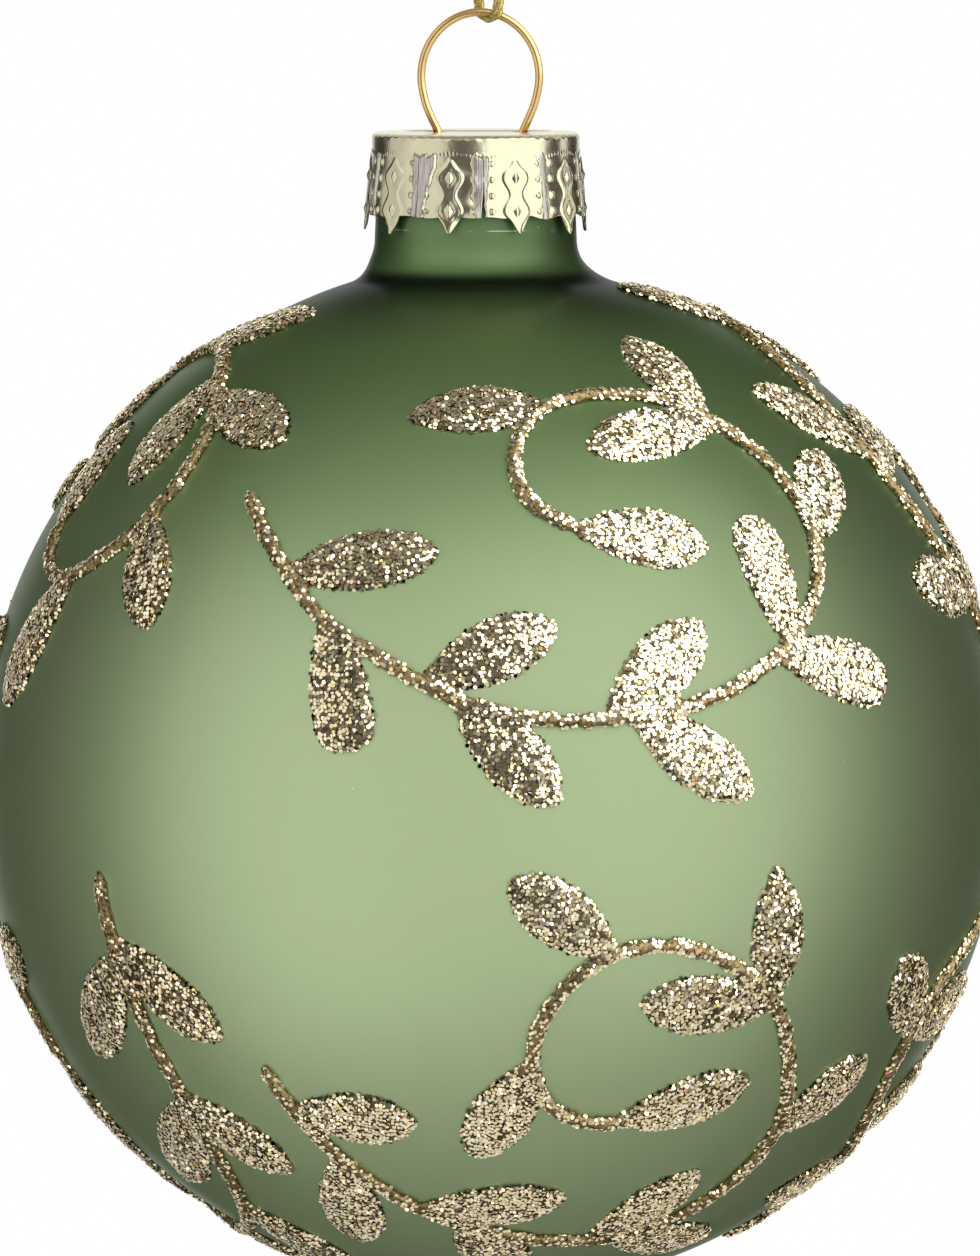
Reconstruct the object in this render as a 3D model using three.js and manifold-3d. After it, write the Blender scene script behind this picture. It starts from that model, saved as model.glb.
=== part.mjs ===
// A glass christmas bauble on its hanging loop, in millimetres, with +Z up.
// The origin is the top of the cord loop, where the hook or twig holds it.
// The camera side is -Y, and longitudes are counted from there towards +X.

import * as THREE from "three";
import { mergeVertices } from "three/addons/utils/BufferGeometryUtils.js";
import Module from "manifold-3d";

const wasm = await Module();
wasm.setup();

// Fits
const FIT_GAP = 0.3; // between pieces that seat on each other
const GLUE_GAP = 0.15; // between the ball and the glitter that is glued on it

// Glass ball
const BALL_RADIUS = 40;
const BALL_WALL = 0.8;
const BALL_LEAN = 1.3; // how far the ball sits to the right of its own neck
const LEAN_HALF_HEIGHT = 2.2; // half the height over which the neck leads into the leaning ball
const NECK_RADIUS = 7.88;
const NECK_TAPER = 0.3; // how much smaller the neck is at its lip
const NECK_RISE = 9.85; // from the top of the round ball to the lip
const BORE_RADIUS = 6.8;
const SHOULDER_FILLET = 3.6;
const LIP_ROUND = 0.3;

// Crown cap, stamped from thin foil
const CAP_SHEET = 0.22;
const CAP_EDGE_ROUND = 0.5;
const CAP_BAND = 1.6; // height of the plain band above the petals
const SKIRT_DEPTH = 6.4; // from the cap's top to the edge between the petal points
const SKIRT_FLARE = 0.5;
const PETALS = 10;
const PETAL_TURN = 22; // degrees from the camera side to the middle of one petal
const POINT_LENGTH = 1.65;
const POINT_HALF_WIDTH = 0.85;
const POINT_BLUNT = 0.12;
const PLEAT_TOP_WIDTH = 1.5; // the flattened fold between two petals
const PLEAT_FOOT_WIDTH = 0.6;
const SLIT_HALF_WIDTH = 0.16;
const SLIT_LENGTH = 2.2;
const HOLE_RADIUS = 0.8;
const CUT_REACH = 1.2; // how far a cutter reaches past the foil on every side

// Wire hanger
const WIRE_RADIUS = 0.32;
const EYE_HALF_WIDTH = 4.6;
const EYE_RISE = 5; // from the widest part of the eye to its top
const EYE_FALL = 4.35; // from the widest part of the eye to the cap
const EYE_SHIFT = 0.35; // the eye has slipped a little to the right in its holes
const LEG_HALF_GAP = 3.3; // half the distance between the legs in the cap's holes
const LEG_PINCH_DEPTH = 1.2; // how far below the cap the legs come closest
const LEG_PINCH = 0.35;
const LEG_REACH_DEPTH = 6.5; // how far below the cap the legs have sprung out to the glass
const LEG_EASE = 0.2; // how far they still lean in there
const LEG_LENGTH = 13.2;
const TOE_LENGTH = 1.4; // the tip of the leg, which turns back in
const TOE_TURN_IN = 0.35;

// Hanging cord
const HOOK_TO_EYE = 44; // from the hook down to the middle of the eye's top wire
const NECK_OFFSET = 1; // the neck hangs this far to the left of the hook
const CORD_RADIUS = 0.45;
const KNOT_RADIUS = 1.35;
const KNOT_HEIGHT = 3.4;
const TAIL_LENGTH = 5.5;
const TAIL_SPREAD = 1.5;

// Glitter vines
const STEM_HALF_WIDTH = 0.62;
const STEM_RISE = 0.7;
const LEAF_HALF_WIDTH = 2.4;
const LEAF_RISE = 0.65;

// Smoothness
const BALL_SEGMENTS = 36;
const BALL_STEPS = 18; // arc steps from the ball's foot to its shoulder, outside
const CAP_SEGMENTS = 50;
const WIRE_SIDES = 8;
const WIRE_STEPS = 42;
const CORD_SIDES = 8;
const CORD_STEPS = 60;
const KNOT_SEGMENTS = 14;
const STEM_STEPS = 52; // for a stem that goes once round the ball

// Heights in the bauble's own frame, whose origin is the middle of the ball, under the neck
const lipHeight = BALL_RADIUS + NECK_RISE;
const lipRadius = NECK_RADIUS - NECK_TAPER;
const capTop = lipHeight + FIT_GAP + CAP_SHEET;
const capRadius = lipRadius + FIT_GAP + CAP_SHEET;
const bandEdge = capTop - CAP_BAND;
const skirtEdge = capTop - SKIRT_DEPTH;
const pointEdge = skirtEdge - POINT_LENGTH;
const eyeMiddle = capTop + EYE_FALL;
const eyeTop = eyeMiddle + EYE_RISE;

// Makes a solid of a closed three.js geometry.
function solid(geometry) {
  const bare = geometry.clone();
  bare.deleteAttribute("normal");
  bare.deleteAttribute("uv");
  const merged = mergeVertices(bare, 1e-4);
  const corners = Array.from(merged.index.array);
  const kept = [];
  for (let i = 0; i < corners.length; i += 3) {
    const [a, b, c] = corners.slice(i, i + 3);
    if (a !== b && b !== c && c !== a) kept.push(a, b, c);
  }
  return new wasm.Manifold(
    new wasm.Mesh({
      numProp: 3,
      vertProperties: merged.attributes.position.array,
      triVerts: new Uint32Array(kept),
    }),
  );
}

// Makes a geometry of a solid.
function geometryOf(body) {
  const mesh = body.getMesh();
  const geometry = new THREE.BufferGeometry();
  geometry.setAttribute(
    "position",
    new THREE.BufferAttribute(new Float32Array(mesh.vertProperties), 3),
  );
  geometry.setIndex(new THREE.BufferAttribute(new Uint32Array(mesh.triVerts), 1));
  const flat = geometry.toNonIndexed();
  flat.computeVertexNormals();
  return flat;
}

function piece(name, geometry, material) {
  const mesh = new THREE.Mesh(geometry, material);
  mesh.name = name;
  return mesh;
}

// Turns a profile of [radius, height] points round the Z axis.
function turned(profile, segments) {
  const points = profile.map(([radius, height]) => new THREE.Vector2(radius, height));
  return new THREE.LatheGeometry(points, segments).rotateX(Math.PI / 2);
}

// Points on an arc from one angle to another, in degrees, both ends included.
function arc(centreRadius, centreHeight, radius, from, to, steps) {
  return Array.from({ length: steps + 1 }, (_, i) => {
    const angle = THREE.MathUtils.degToRad(from + ((to - from) * i) / steps);
    return [
      centreRadius + radius * Math.cos(angle),
      centreHeight + radius * Math.sin(angle),
    ];
  });
}

// A round tube along a curve, closed at both ends.
function tube(curve, radius, sides, steps) {
  const section = new THREE.Shape(
    Array.from({ length: sides }, (_, i) => {
      const angle = (2 * Math.PI * i) / sides;
      return new THREE.Vector2(radius * Math.cos(angle), radius * Math.sin(angle));
    }),
  );
  return new THREE.ExtrudeGeometry(section, { steps, extrudePath: curve, bevelEnabled: false });
}

function curveThrough(points) {
  return new THREE.CatmullRomCurve3(points.map((point) => new THREE.Vector3(...point)));
}

// The profile's shoulder: where a wall of the neck's radius meets a sphere through a fillet.
function shoulder(sphereRadius, neckRadius, fillet) {
  const centreRadius = neckRadius + fillet;
  const centreHeight = Math.sqrt((sphereRadius + fillet) ** 2 - centreRadius ** 2);
  const foot = THREE.MathUtils.radToDeg(Math.atan2(centreHeight, centreRadius));
  return { centreRadius, centreHeight, foot };
}

const outerShoulder = shoulder(BALL_RADIUS, NECK_RADIUS, SHOULDER_FILLET);
const shoulderHeight = BALL_RADIUS * Math.sin(THREE.MathUtils.degToRad(outerShoulder.foot));

// How far the glass stands to the right at a height: all of the lean below the shoulder.
function leanAt(height) {
  const low = shoulderHeight - LEAN_HALF_HEIGHT;
  const high = shoulderHeight + LEAN_HALF_HEIGHT;
  return BALL_LEAN * (1 - THREE.MathUtils.smoothstep(height, low, high));
}

// The ball and its neck, blown in one piece and open at the lip.
function glassBall() {
  const innerRadius = BALL_RADIUS - BALL_WALL;
  const innerFillet = SHOULDER_FILLET + NECK_RADIUS - BORE_RADIUS;
  const inner = shoulder(innerRadius, BORE_RADIUS, innerFillet);
  const outer = outerShoulder;
  const lipFlat = lipHeight - LIP_ROUND;
  const profile = [
    [0, -BALL_RADIUS],
    ...arc(0, 0, BALL_RADIUS, -90, outer.foot, BALL_STEPS).slice(1),
    ...arc(
      outer.centreRadius, outer.centreHeight, SHOULDER_FILLET, outer.foot + 180, 180, 4,
    ).slice(1),
    ...arc(lipRadius - LIP_ROUND, lipFlat, LIP_ROUND, 0, 90, 2),
    ...arc(BORE_RADIUS + LIP_ROUND, lipFlat, LIP_ROUND, 90, 180, 2),
    ...arc(inner.centreRadius, inner.centreHeight, innerFillet, 180, inner.foot + 180, 4),
    ...arc(0, 0, innerRadius, inner.foot, -90, Math.round(BALL_STEPS * 0.6)).slice(1, -1),
    [0, -innerRadius],
  ];
  const geometry = turned(profile, BALL_SEGMENTS);
  const position = geometry.attributes.position;
  for (let i = 0; i < position.count; i += 1) {
    position.setX(i, position.getX(i) + leanAt(position.getZ(i)));
  }
  return geometryOf(solid(geometry));
}

// Stands an outline, drawn across and up, on the cap's side at an angle, and thickens it outward.
function onSkirt(outline, angle, near, far, leaning) {
  const shape = new THREE.Shape(outline.map(([x, y]) => new THREE.Vector2(x, y)));
  const plate = new THREE.ExtrudeGeometry(shape, { depth: far - near, bevelEnabled: false });
  plate.translate(0, 0, near);
  const position = plate.attributes.position;
  for (let i = 0; leaning && i < position.count; i += 1) {
    position.setZ(i, position.getZ(i) + flareAt(position.getY(i)));
  }
  const along = new THREE.Vector3(Math.cos(angle), Math.sin(angle), 0);
  const out = new THREE.Vector3(Math.sin(angle), -Math.cos(angle), 0);
  const placed = new THREE.Matrix4().makeBasis(along, new THREE.Vector3(0, 0, 1), out);
  return solid(plate.applyMatrix4(placed));
}

// How far the skirt stands out of the band at a height.
function flareAt(height) {
  return (SKIRT_FLARE * (bandEdge - height)) / (bandEdge - skirtEdge);
}

// The fold that gathers the foil between two petals, pressed flat on the skirt.
function pleat(angle) {
  const top = PLEAT_TOP_WIDTH / 2;
  const foot = PLEAT_FOOT_WIDTH / 2;
  const outline = [
    [-foot, pointEdge],
    [foot, pointEdge],
    [foot, skirtEdge],
    [top, bandEdge],
    [-top, bandEdge],
    [-foot, skirtEdge],
  ];
  return onSkirt(outline, angle, capRadius - CAP_SHEET / 2, capRadius + CAP_SHEET, true);
}

// What is cut away between two petals: the edge between their points, and the slit above it.
function petalGap(angle) {
  const pitch = (Math.PI * (capRadius + SKIRT_FLARE)) / PETALS;
  const tip = pitch - POINT_BLUNT;
  const root = pitch - POINT_HALF_WIDTH;
  const outline = [
    [-tip, pointEdge - CUT_REACH],
    [tip, pointEdge - CUT_REACH],
    [tip, pointEdge],
    [root, skirtEdge],
    [SLIT_HALF_WIDTH, skirtEdge],
    [0, skirtEdge + SLIT_LENGTH],
    [-SLIT_HALF_WIDTH, skirtEdge],
    [-root, skirtEdge],
    [-tip, pointEdge],
  ];
  const near = capRadius - CUT_REACH;
  return onSkirt(outline, angle, near, capRadius + SKIRT_FLARE + CUT_REACH, false);
}

function crownCap() {
  const innerRadius = capRadius - CAP_SHEET;
  const edge = capTop - CAP_EDGE_ROUND;
  const skirt = [bandEdge, skirtEdge, pointEdge].map((height) => [flareAt(height), height]);
  const profile = [
    [0, capTop - CAP_SHEET],
    ...arc(capRadius - CAP_EDGE_ROUND, edge, CAP_EDGE_ROUND - CAP_SHEET, 90, 0, 2),
    ...skirt.map(([flare, height]) => [innerRadius + flare, height]),
    ...skirt.map(([flare, height]) => [capRadius + flare, height]).reverse(),
    ...arc(capRadius - CAP_EDGE_ROUND, edge, CAP_EDGE_ROUND, 0, 90, 2),
    [0, capTop],
  ];
  let body = solid(turned(profile, CAP_SEGMENTS));
  for (let i = 0; i < PETALS; i += 1) {
    const turn = THREE.MathUtils.degToRad(PETAL_TURN + ((i + 0.5) * 360) / PETALS);
    body = body.add(pleat(turn)).subtract(petalGap(turn));
  }
  for (const side of [-1, 1]) {
    const hole = new THREE.CylinderGeometry(HOLE_RADIUS, HOLE_RADIUS, 4 * CAP_SHEET, 12);
    hole.rotateX(Math.PI / 2).translate(side * LEG_HALF_GAP, 0, capTop - CAP_SHEET / 2);
    body = body.subtract(solid(hole));
  }
  return geometryOf(body);
}

// Half of the hanger, from the top of the eye down to the tip of one leg.
function hangerHalf(side) {
  const legEnd = BORE_RADIUS - FIT_GAP - WIRE_RADIUS;
  const pinch = LEG_HALF_GAP - LEG_PINCH;
  const capUnder = capTop - CAP_SHEET;
  const toeTop = capUnder - LEG_LENGTH + TOE_LENGTH;
  const eye = [67.5, 45, 22.5, 0].map((degrees) => {
    const angle = THREE.MathUtils.degToRad(degrees);
    return [EYE_HALF_WIDTH * Math.cos(angle), eyeMiddle + EYE_RISE * Math.sin(angle)];
  });
  const foot = [
    [EYE_HALF_WIDTH * 0.93, eyeMiddle - EYE_FALL * 0.46],
    [EYE_HALF_WIDTH * 0.82, eyeMiddle - EYE_FALL * 0.76],
  ];
  const leg = [
    [LEG_HALF_GAP, capTop],
    [pinch, capUnder - LEG_PINCH_DEPTH],
    [legEnd - LEG_EASE, capUnder - LEG_REACH_DEPTH],
    [legEnd, (capUnder - LEG_REACH_DEPTH + toeTop) / 2],
    [legEnd, toeTop],
    [legEnd - TOE_TURN_IN, capUnder - LEG_LENGTH],
  ];
  const shifted = [...eye, ...foot].map(([x, z]) => [side * x + EYE_SHIFT, 0, z]);
  const inCap = leg.map(([x, z], i) => [side * x + (i === 0 ? EYE_SHIFT : 0), 0, z]);
  return [...shifted, ...inCap];
}

// One wire: a leg, the eye and the other leg.
function wireHanger() {
  const left = hangerHalf(-1).reverse();
  const curve = curveThrough([...left, [EYE_SHIFT, 0, eyeTop], ...hangerHalf(1)]);
  return geometryOf(solid(tube(curve, WIRE_RADIUS, WIRE_SIDES, WIRE_STEPS)));
}

// The cord's route, from the knot down behind the eye, under its wire and up in front.
const CORD_ROUTE = [
  [-0.5, 0, 1.1],
  [-1.25, 0, 0.35],
  [-1.75, 0, -1.2],
  [-1.85, 0.05, -3.5],
  [-1.75, 0.2, -9],
  [-1.6, 0.4, -15],
  [-1.45, 0.6, -21],
  [-1.3, 0.8, -27],
  [-1.1, 1, -34],
  [-0.9, 1.2, -40],
  [-0.78, 1.3, -42.6],
  [-0.72, 1.3, -43.85],
  [-0.55, 0.92, -44.92],
  [-0.02, 0, -45.34],
  [0.52, -0.92, -44.92],
  [0.72, -1.3, -43.85],
  [0.78, -1.3, -42.6],
  [0.9, -1.2, -40],
  [1.1, -1, -34],
  [1.3, -0.8, -27],
  [1.45, -0.6, -21],
  [1.6, -0.4, -15],
  [1.75, -0.2, -9],
  [1.85, -0.05, -3.5],
  [1.75, 0, -1.2],
  [1.25, 0, 0.35],
  [0.5, 0, 1.1],
];

function cordLoop() {
  return tube(curveThrough(CORD_ROUTE), CORD_RADIUS, CORD_SIDES, CORD_STEPS);
}

// The knot that ties both ends of the cord, with the two cut tails above it.
function cordKnot() {
  const foot = CORD_ROUTE[0][2] + FIT_GAP;
  const middle = foot + KNOT_HEIGHT / 2;
  const waist = KNOT_RADIUS * 0.86;
  const profile = [
    [0, foot],
    [KNOT_RADIUS * 0.62, foot + KNOT_HEIGHT * 0.06],
    [KNOT_RADIUS, foot + KNOT_HEIGHT * 0.26],
    [waist, middle],
    [KNOT_RADIUS, foot + KNOT_HEIGHT * 0.74],
    [KNOT_RADIUS * 0.62, foot + KNOT_HEIGHT * 0.94],
    [0, foot + KNOT_HEIGHT],
  ];
  const tails = [-1, 1].map((side) =>
    curveThrough([
      [side * CORD_RADIUS, 0, middle],
      [side * CORD_RADIUS * 1.2, 0, foot + KNOT_HEIGHT],
      [side * TAIL_SPREAD, side * CORD_RADIUS, foot + KNOT_HEIGHT + TAIL_LENGTH],
    ]),
  );
  return geometryOf(
    tails.reduce(
      (body, curve) => body.add(solid(tube(curve, CORD_RADIUS, CORD_SIDES, 5))),
      solid(turned(profile, KNOT_SEGMENTS)),
    ),
  );
}

// The unit direction of a place on the ball, from its longitude and latitude in degrees.
function direction([longitude, latitude]) {
  const turn = THREE.MathUtils.degToRad(longitude);
  const climb = THREE.MathUtils.degToRad(latitude);
  return new THREE.Vector3(
    Math.cos(climb) * Math.sin(turn),
    -Math.cos(climb) * Math.cos(turn),
    Math.sin(climb),
  );
}

// A bead of glue laid on the ball: a flat foot, a rounded back and closed ends.
// Each station is { at, half, rise }: a direction, half the bead's width and its height.
function bead(stations) {
  const rings = stations.map(({ at, half, rise }, i) => {
    const before = stations[Math.max(i - 1, 0)].at;
    const after = stations[Math.min(i + 1, stations.length - 1)].at;
    const side = at.clone().cross(after.clone().sub(before)).normalize();
    return [
      [half, 0],
      [half * 0.5, rise],
      [-half * 0.5, rise],
      [-half, 0],
    ].map(([across, up]) => {
      const place = at.clone().multiplyScalar(BALL_RADIUS).addScaledVector(side, across);
      place.setLength(BALL_RADIUS + GLUE_GAP + up);
      place.x += leanAt(place.z);
      return place;
    });
  });
  const positions = rings.flat().flatMap((place) => place.toArray());
  const corners = rings[0].length;
  const faces = [];
  for (let i = 0; i + 1 < rings.length; i += 1) {
    for (let j = 0; j < corners; j += 1) {
      const a = i * corners + j;
      const b = i * corners + ((j + 1) % corners);
      faces.push(a, b, a + corners, b, b + corners, a + corners);
    }
  }
  const last = (rings.length - 1) * corners;
  faces.push(0, 2, 1, 0, 3, 2);
  faces.push(last, last + 1, last + 2, last, last + 2, last + 3);
  const geometry = new THREE.BufferGeometry();
  geometry.setAttribute("position", new THREE.Float32BufferAttribute(positions, 3));
  geometry.setIndex(faces);
  return solid(geometry);
}

// How wide and how high a leaf is along its length, as shares of its full width and height.
const LEAF_SHAPE = [
  { along: 0, wide: 0.3, high: 0.7 },
  { along: 0.25, wide: 0.86, high: 1 },
  { along: 0.55, wide: 1, high: 1 },
  { along: 0.83, wide: 0.7, high: 0.9 },
  { along: 1, wide: 0.15, high: 0.5 },
];

// One vine: a stem that curls in on itself, and leaves that grow from the nearest place on it.
function vine({ stem, leaves }, turn) {
  const swing = ([longitude, latitude]) => direction([longitude + turn, latitude]);
  const line = new THREE.CatmullRomCurve3(
    stem.map((place) => swing(place).multiplyScalar(BALL_RADIUS)),
  );
  const steps = Math.ceil((STEM_STEPS * line.getLength()) / (2 * Math.PI * BALL_RADIUS));
  const places = line.getSpacedPoints(steps).map((place) => place.normalize());
  const stations = places.map((at, i) => {
    const end = i === 0 || i === steps;
    return { at, half: STEM_HALF_WIDTH * (end ? 0.7 : 1), rise: STEM_RISE * (end ? 0.7 : 1) };
  });
  const leafBodies = leaves.map(([baseLongitude, baseLatitude, tipLongitude, tipLatitude]) => {
    const wanted = swing([baseLongitude, baseLatitude]);
    const base = line
      .getSpacedPoints(steps * 4)
      .map((place) => place.normalize())
      .reduce((best, at) => (at.distanceTo(wanted) < best.distanceTo(wanted) ? at : best));
    const tip = swing([tipLongitude, tipLatitude]);
    return bead(
      LEAF_SHAPE.map(({ along, wide, high }) => ({
        at: base.clone().lerp(tip, along).normalize(),
        half: LEAF_HALF_WIDTH * wide,
        rise: LEAF_RISE * high,
      })),
    );
  });
  return geometryOf(leafBodies.reduce((body, leaf) => body.add(leaf), bead(stations)));
}

// The vines, drawn by hand as [longitude, latitude] in degrees.
// A leaf is its place on the stem, then its tip.
const UPPER_FRONT = {
  stem: [
    [-35.5, 36], [-28.5, 28.5], [-20.5, 20.8], [-12, 15.8], [-4, 11.8], [5, 9.6], [15, 9.6],
    [24, 11.2], [32, 14.5], [39, 19.5], [43.8, 25.5], [45.6, 32], [43.8, 39], [39, 44.5],
    [32, 48.8], [23, 50.4], [14, 50], [7.5, 47.8], [4, 43.8], [3.2, 39], [5.5, 34.8], [11, 31.6],
  ],
  leaves: [
    [-25, 26, -6.8, 30.4], [-19.5, 20, -16, 5.8], [-7.5, 13.4, 7.5, 20.3],
    [-3.5, 11.6, 7.3, 0.2], [13, 9.6, 25.4, 20.2], [16, 9.7, 29.8, 0.8],
    [35, 16.2, 51, 12.3], [37.2, 18, 35.5, 33], [45, 29.5, 57, 40.8],
    [38, 46, 14.5, 42.2], [36.5, 47, 32, 60.8], [9, 48.6, -13.8, 47.8], [12, 31.4, 28.2, 30],
  ],
};

const LOWER_FRONT = {
  stem: [
    [-31, -31], [-29, -36], [-24.5, -43.5], [-18, -50], [-10, -54.8], [0, -58], [12, -60],
    [25, -60], [36, -57.2], [43, -51.5], [46, -44], [45, -37], [41, -30], [36.5, -23.5],
    [30, -18.8], [22, -16], [14, -16.8], [8.8, -20.5], [5.6, -26], [5.4, -32], [9, -36.8],
    [15, -38.6], [19, -38.4],
  ],
  leaves: [
    [-28.5, -37, -10.8, -38.5], [-24, -44.5, -31, -61], [-13, -53, 13, -50.8],
    [-7, -56, 9, -68.5], [23, -60, 35.5, -46.8], [27, -60, 58, -60.5],
    [45.6, -41, 57.8, -31], [36, -23, 18, -22.8], [36.2, -23.2, 33.2, -7.8],
    [14, -16.8, 2, -8.2], [5.4, -30.5, -3, -43.8], [18, -38.6, 36.2, -33],
  ],
};

const UPPER_LEFT = {
  stem: [
    [-97, 10], [-101, 18], [-105, 26], [-107, 34], [-106, 42], [-101, 49], [-93, 53.8],
    [-84, 56.4], [-74, 56.8], [-66, 55.3], [-59, 52.3], [-53.5, 48.8], [-49.8, 44.5],
    [-48.6, 39.5], [-49.8, 34.5], [-53, 30], [-58.5, 26.3], [-66, 24], [-72, 26], [-75.5, 30],
  ],
  leaves: [
    [-97.5, 11.5, -81, 16.8], [-102, 19.5, -115, 25], [-107, 33, -117.5, 44],
    [-107, 32, -89, 35.5], [-99, 51, -113, 61], [-94, 53, -89, 39.5], [-84, 56.4, -57, 65.8],
    [-59.5, 52.6, -60, 36], [-54, 49.2, -33.5, 42.8], [-51, 32.3, -44.5, 19],
    [-63, 24.6, -72.7, 9], [-75.2, 29.6, -78, 44.4],
  ],
};

const UPPER_RIGHT = {
  stem: [
    [86, 12], [82, 18], [77.5, 24.5], [73.5, 31], [70.8, 37.5], [70.2, 44], [71, 50],
    [73.5, 55.5], [79, 61], [88, 64.5], [99, 64.5], [109, 61], [116.5, 55.5], [121, 49],
    [122.5, 41], [120.5, 33.5], [115, 27], [107, 24], [99, 26], [94.5, 31.5],
  ],
  leaves: [
    [80, 21, 63, 23.8], [81, 19.5, 95, 28.5], [70.5, 40, 52.3, 50.8], [71, 37, 89.5, 45.5],
    [82, 62.5, 68, 74], [111, 60, 121, 71.5], [104, 63, 101, 49.5], [120.5, 50, 136, 45],
    [122, 37, 135, 28.5], [110, 24.7, 104, 10], [119, 30.5, 130, 17.5], [95, 31, 97, 44.5],
  ],
};

const LOWER_LEFT = {
  stem: [
    [-50, -8.5], [-49.8, -14], [-49, -20], [-48, -28], [-47.3, -36], [-48, -43],
    [-50.5, -49.5], [-56, -54.8], [-65, -58.6], [-77, -60.5], [-90, -59.5], [-101, -55],
    [-107.5, -48], [-110, -39], [-108, -30], [-102, -23.5], [-94, -20.5], [-87, -22.5],
    [-83.5, -27.5], [-83, -33],
  ],
  leaves: [
    [-49.4, -17.5, -62.5, -31], [-49.4, -16.5, -36, -27.8], [-47.4, -36, -66, -50],
    [-47.4, -35.5, -34.3, -47], [-55, -54, -47, -69.5], [-80, -60.5, -99, -70.5],
    [-97, -57, -92, -43.5], [-106, -50.5, -119, -56], [-109.5, -36, -122, -41],
    [-105, -26.5, -114, -15], [-96, -20.8, -100, -7], [-89, -21.4, -75.5, -18.3],
    [-83, -32.5, -85.5, -48],
  ],
};

const LOWER_RIGHT = {
  stem: [
    [108, -56], [100, -53.5], [92, -50.5], [84, -47.3], [76, -43.4], [70, -38.6],
    [66.8, -33], [66.3, -27.8], [69, -22.5], [75, -17.6], [83, -14], [93, -12.2],
    [103, -14.5], [110, -20.5], [112.5, -28.5], [110, -36], [104, -40.5], [97.5, -39.5],
    [93.5, -35],
  ],
  leaves: [
    [66.3, -28.5, 57, -18.6], [66.4, -28, 84.8, -23.2], [74, -42, 89, -34],
    [86, -48.2, 62.8, -52.8], [98, -52.5, 86, -63], [102, -54.2, 113, -45.5],
    [85, -13.6, 80, 0], [97, -12.8, 107, -1], [108, -18, 122, -12], [112.4, -26, 126, -30],
    [108.5, -37.5, 121, -45], [94, -36, 99.5, -23.5],
  ],
};

const VINES = [
  ["vine_upper_front", UPPER_FRONT, 0],
  ["vine_upper_right", UPPER_RIGHT, 0],
  ["vine_upper_back", UPPER_FRONT, 180],
  ["vine_upper_left", UPPER_LEFT, 0],
  ["vine_lower_front", LOWER_FRONT, 0],
  ["vine_lower_right", LOWER_RIGHT, 0],
  ["vine_lower_back", LOWER_FRONT, 180],
  ["vine_lower_left", LOWER_LEFT, 0],
];

const GREEN_GLASS = new THREE.MeshStandardMaterial({ color: 0x8fa575, roughness: 0.45 });
const CAP_FOIL = new THREE.MeshStandardMaterial({ color: 0xcfc8a2, roughness: 0.25, metalness: 1 });
const GOLD_WIRE = new THREE.MeshStandardMaterial({ color: 0xe0ac58, roughness: 0.25, metalness: 1 });
const GOLD_CORD = new THREE.MeshStandardMaterial({ color: 0xc2a845, roughness: 0.5, metalness: 0.6 });
const GLITTER = new THREE.MeshStandardMaterial({ color: 0xb8a57e, roughness: 0.35, metalness: 0.8 });

const bauble = new THREE.Group();
bauble.position.set(-NECK_OFFSET, 0, -HOOK_TO_EYE - eyeTop);
bauble.add(
  piece("glass_ball", glassBall(), GREEN_GLASS),
  piece("crown_cap", crownCap(), CAP_FOIL),
  piece("wire_hanger", wireHanger(), GOLD_WIRE),
  ...VINES.map(([name, design, turn]) => piece(name, vine(design, turn), GLITTER)),
);

const hanging = new THREE.Group();
hanging.add(
  bauble,
  piece("cord_loop", cordLoop(), GOLD_CORD),
  piece("cord_knot", cordKnot(), GOLD_CORD),
);

export default hanging;
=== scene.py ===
"""A matt green glass bauble with glitter vines, a stamped crown cap and a gold cord.

Every length is in metres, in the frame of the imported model: +Z up, -Y towards the camera,
and the origin at the top of the cord's loop.
"""

import math

import bmesh
import bpy
import numpy as np
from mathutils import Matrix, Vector


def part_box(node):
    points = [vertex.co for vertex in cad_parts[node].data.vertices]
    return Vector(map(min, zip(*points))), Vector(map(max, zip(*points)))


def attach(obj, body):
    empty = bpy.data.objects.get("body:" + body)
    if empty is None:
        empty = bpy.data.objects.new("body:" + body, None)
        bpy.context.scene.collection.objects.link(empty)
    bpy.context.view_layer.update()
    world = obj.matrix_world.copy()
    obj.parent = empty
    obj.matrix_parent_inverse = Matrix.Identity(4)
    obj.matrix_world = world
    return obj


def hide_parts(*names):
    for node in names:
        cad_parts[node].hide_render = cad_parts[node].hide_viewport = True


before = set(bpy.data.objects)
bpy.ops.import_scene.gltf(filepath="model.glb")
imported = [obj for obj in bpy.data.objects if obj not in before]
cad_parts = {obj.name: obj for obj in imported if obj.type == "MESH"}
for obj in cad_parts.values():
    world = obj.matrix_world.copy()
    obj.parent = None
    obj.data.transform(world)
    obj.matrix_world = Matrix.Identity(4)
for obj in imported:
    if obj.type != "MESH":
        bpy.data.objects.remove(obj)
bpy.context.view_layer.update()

mm = 0.001

# The ball and its neck
BALL_RADIUS = 40 * mm
BALL_WALL = 0.8 * mm
BALL_LEAN = 1.3 * mm  # how far the ball stands to the right of its neck
LEAN_HALF_HEIGHT = 2.2 * mm
NECK_RADIUS = 7.88 * mm
LIP_RADIUS = 7.58 * mm
LIP_ROUND = 0.3 * mm
BORE_RADIUS = 6.8 * mm
SHOULDER_FILLET = 3.6 * mm
NECK_DEPTH = 10.45 * mm  # from the lip down to the fillet
SEAM_DEPTH = 6.93 * mm  # from the lip down to the broken pale line round the neck

ball_low, ball_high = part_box("glass_ball")
ball_centre = Vector(((ball_low.x + ball_high.x) / 2, 0, ball_low.z + BALL_RADIUS))
neck_x = ball_centre.x - BALL_LEAN
lip_z = ball_high.z
cap_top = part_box("crown_cap")[1].z


def add_object(name, data):
    made = bpy.data.objects.new(name, data)
    bpy.context.scene.collection.objects.link(made)
    return made


# Camera: a long lens almost level with the ball, which stands below the middle of the picture

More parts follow.
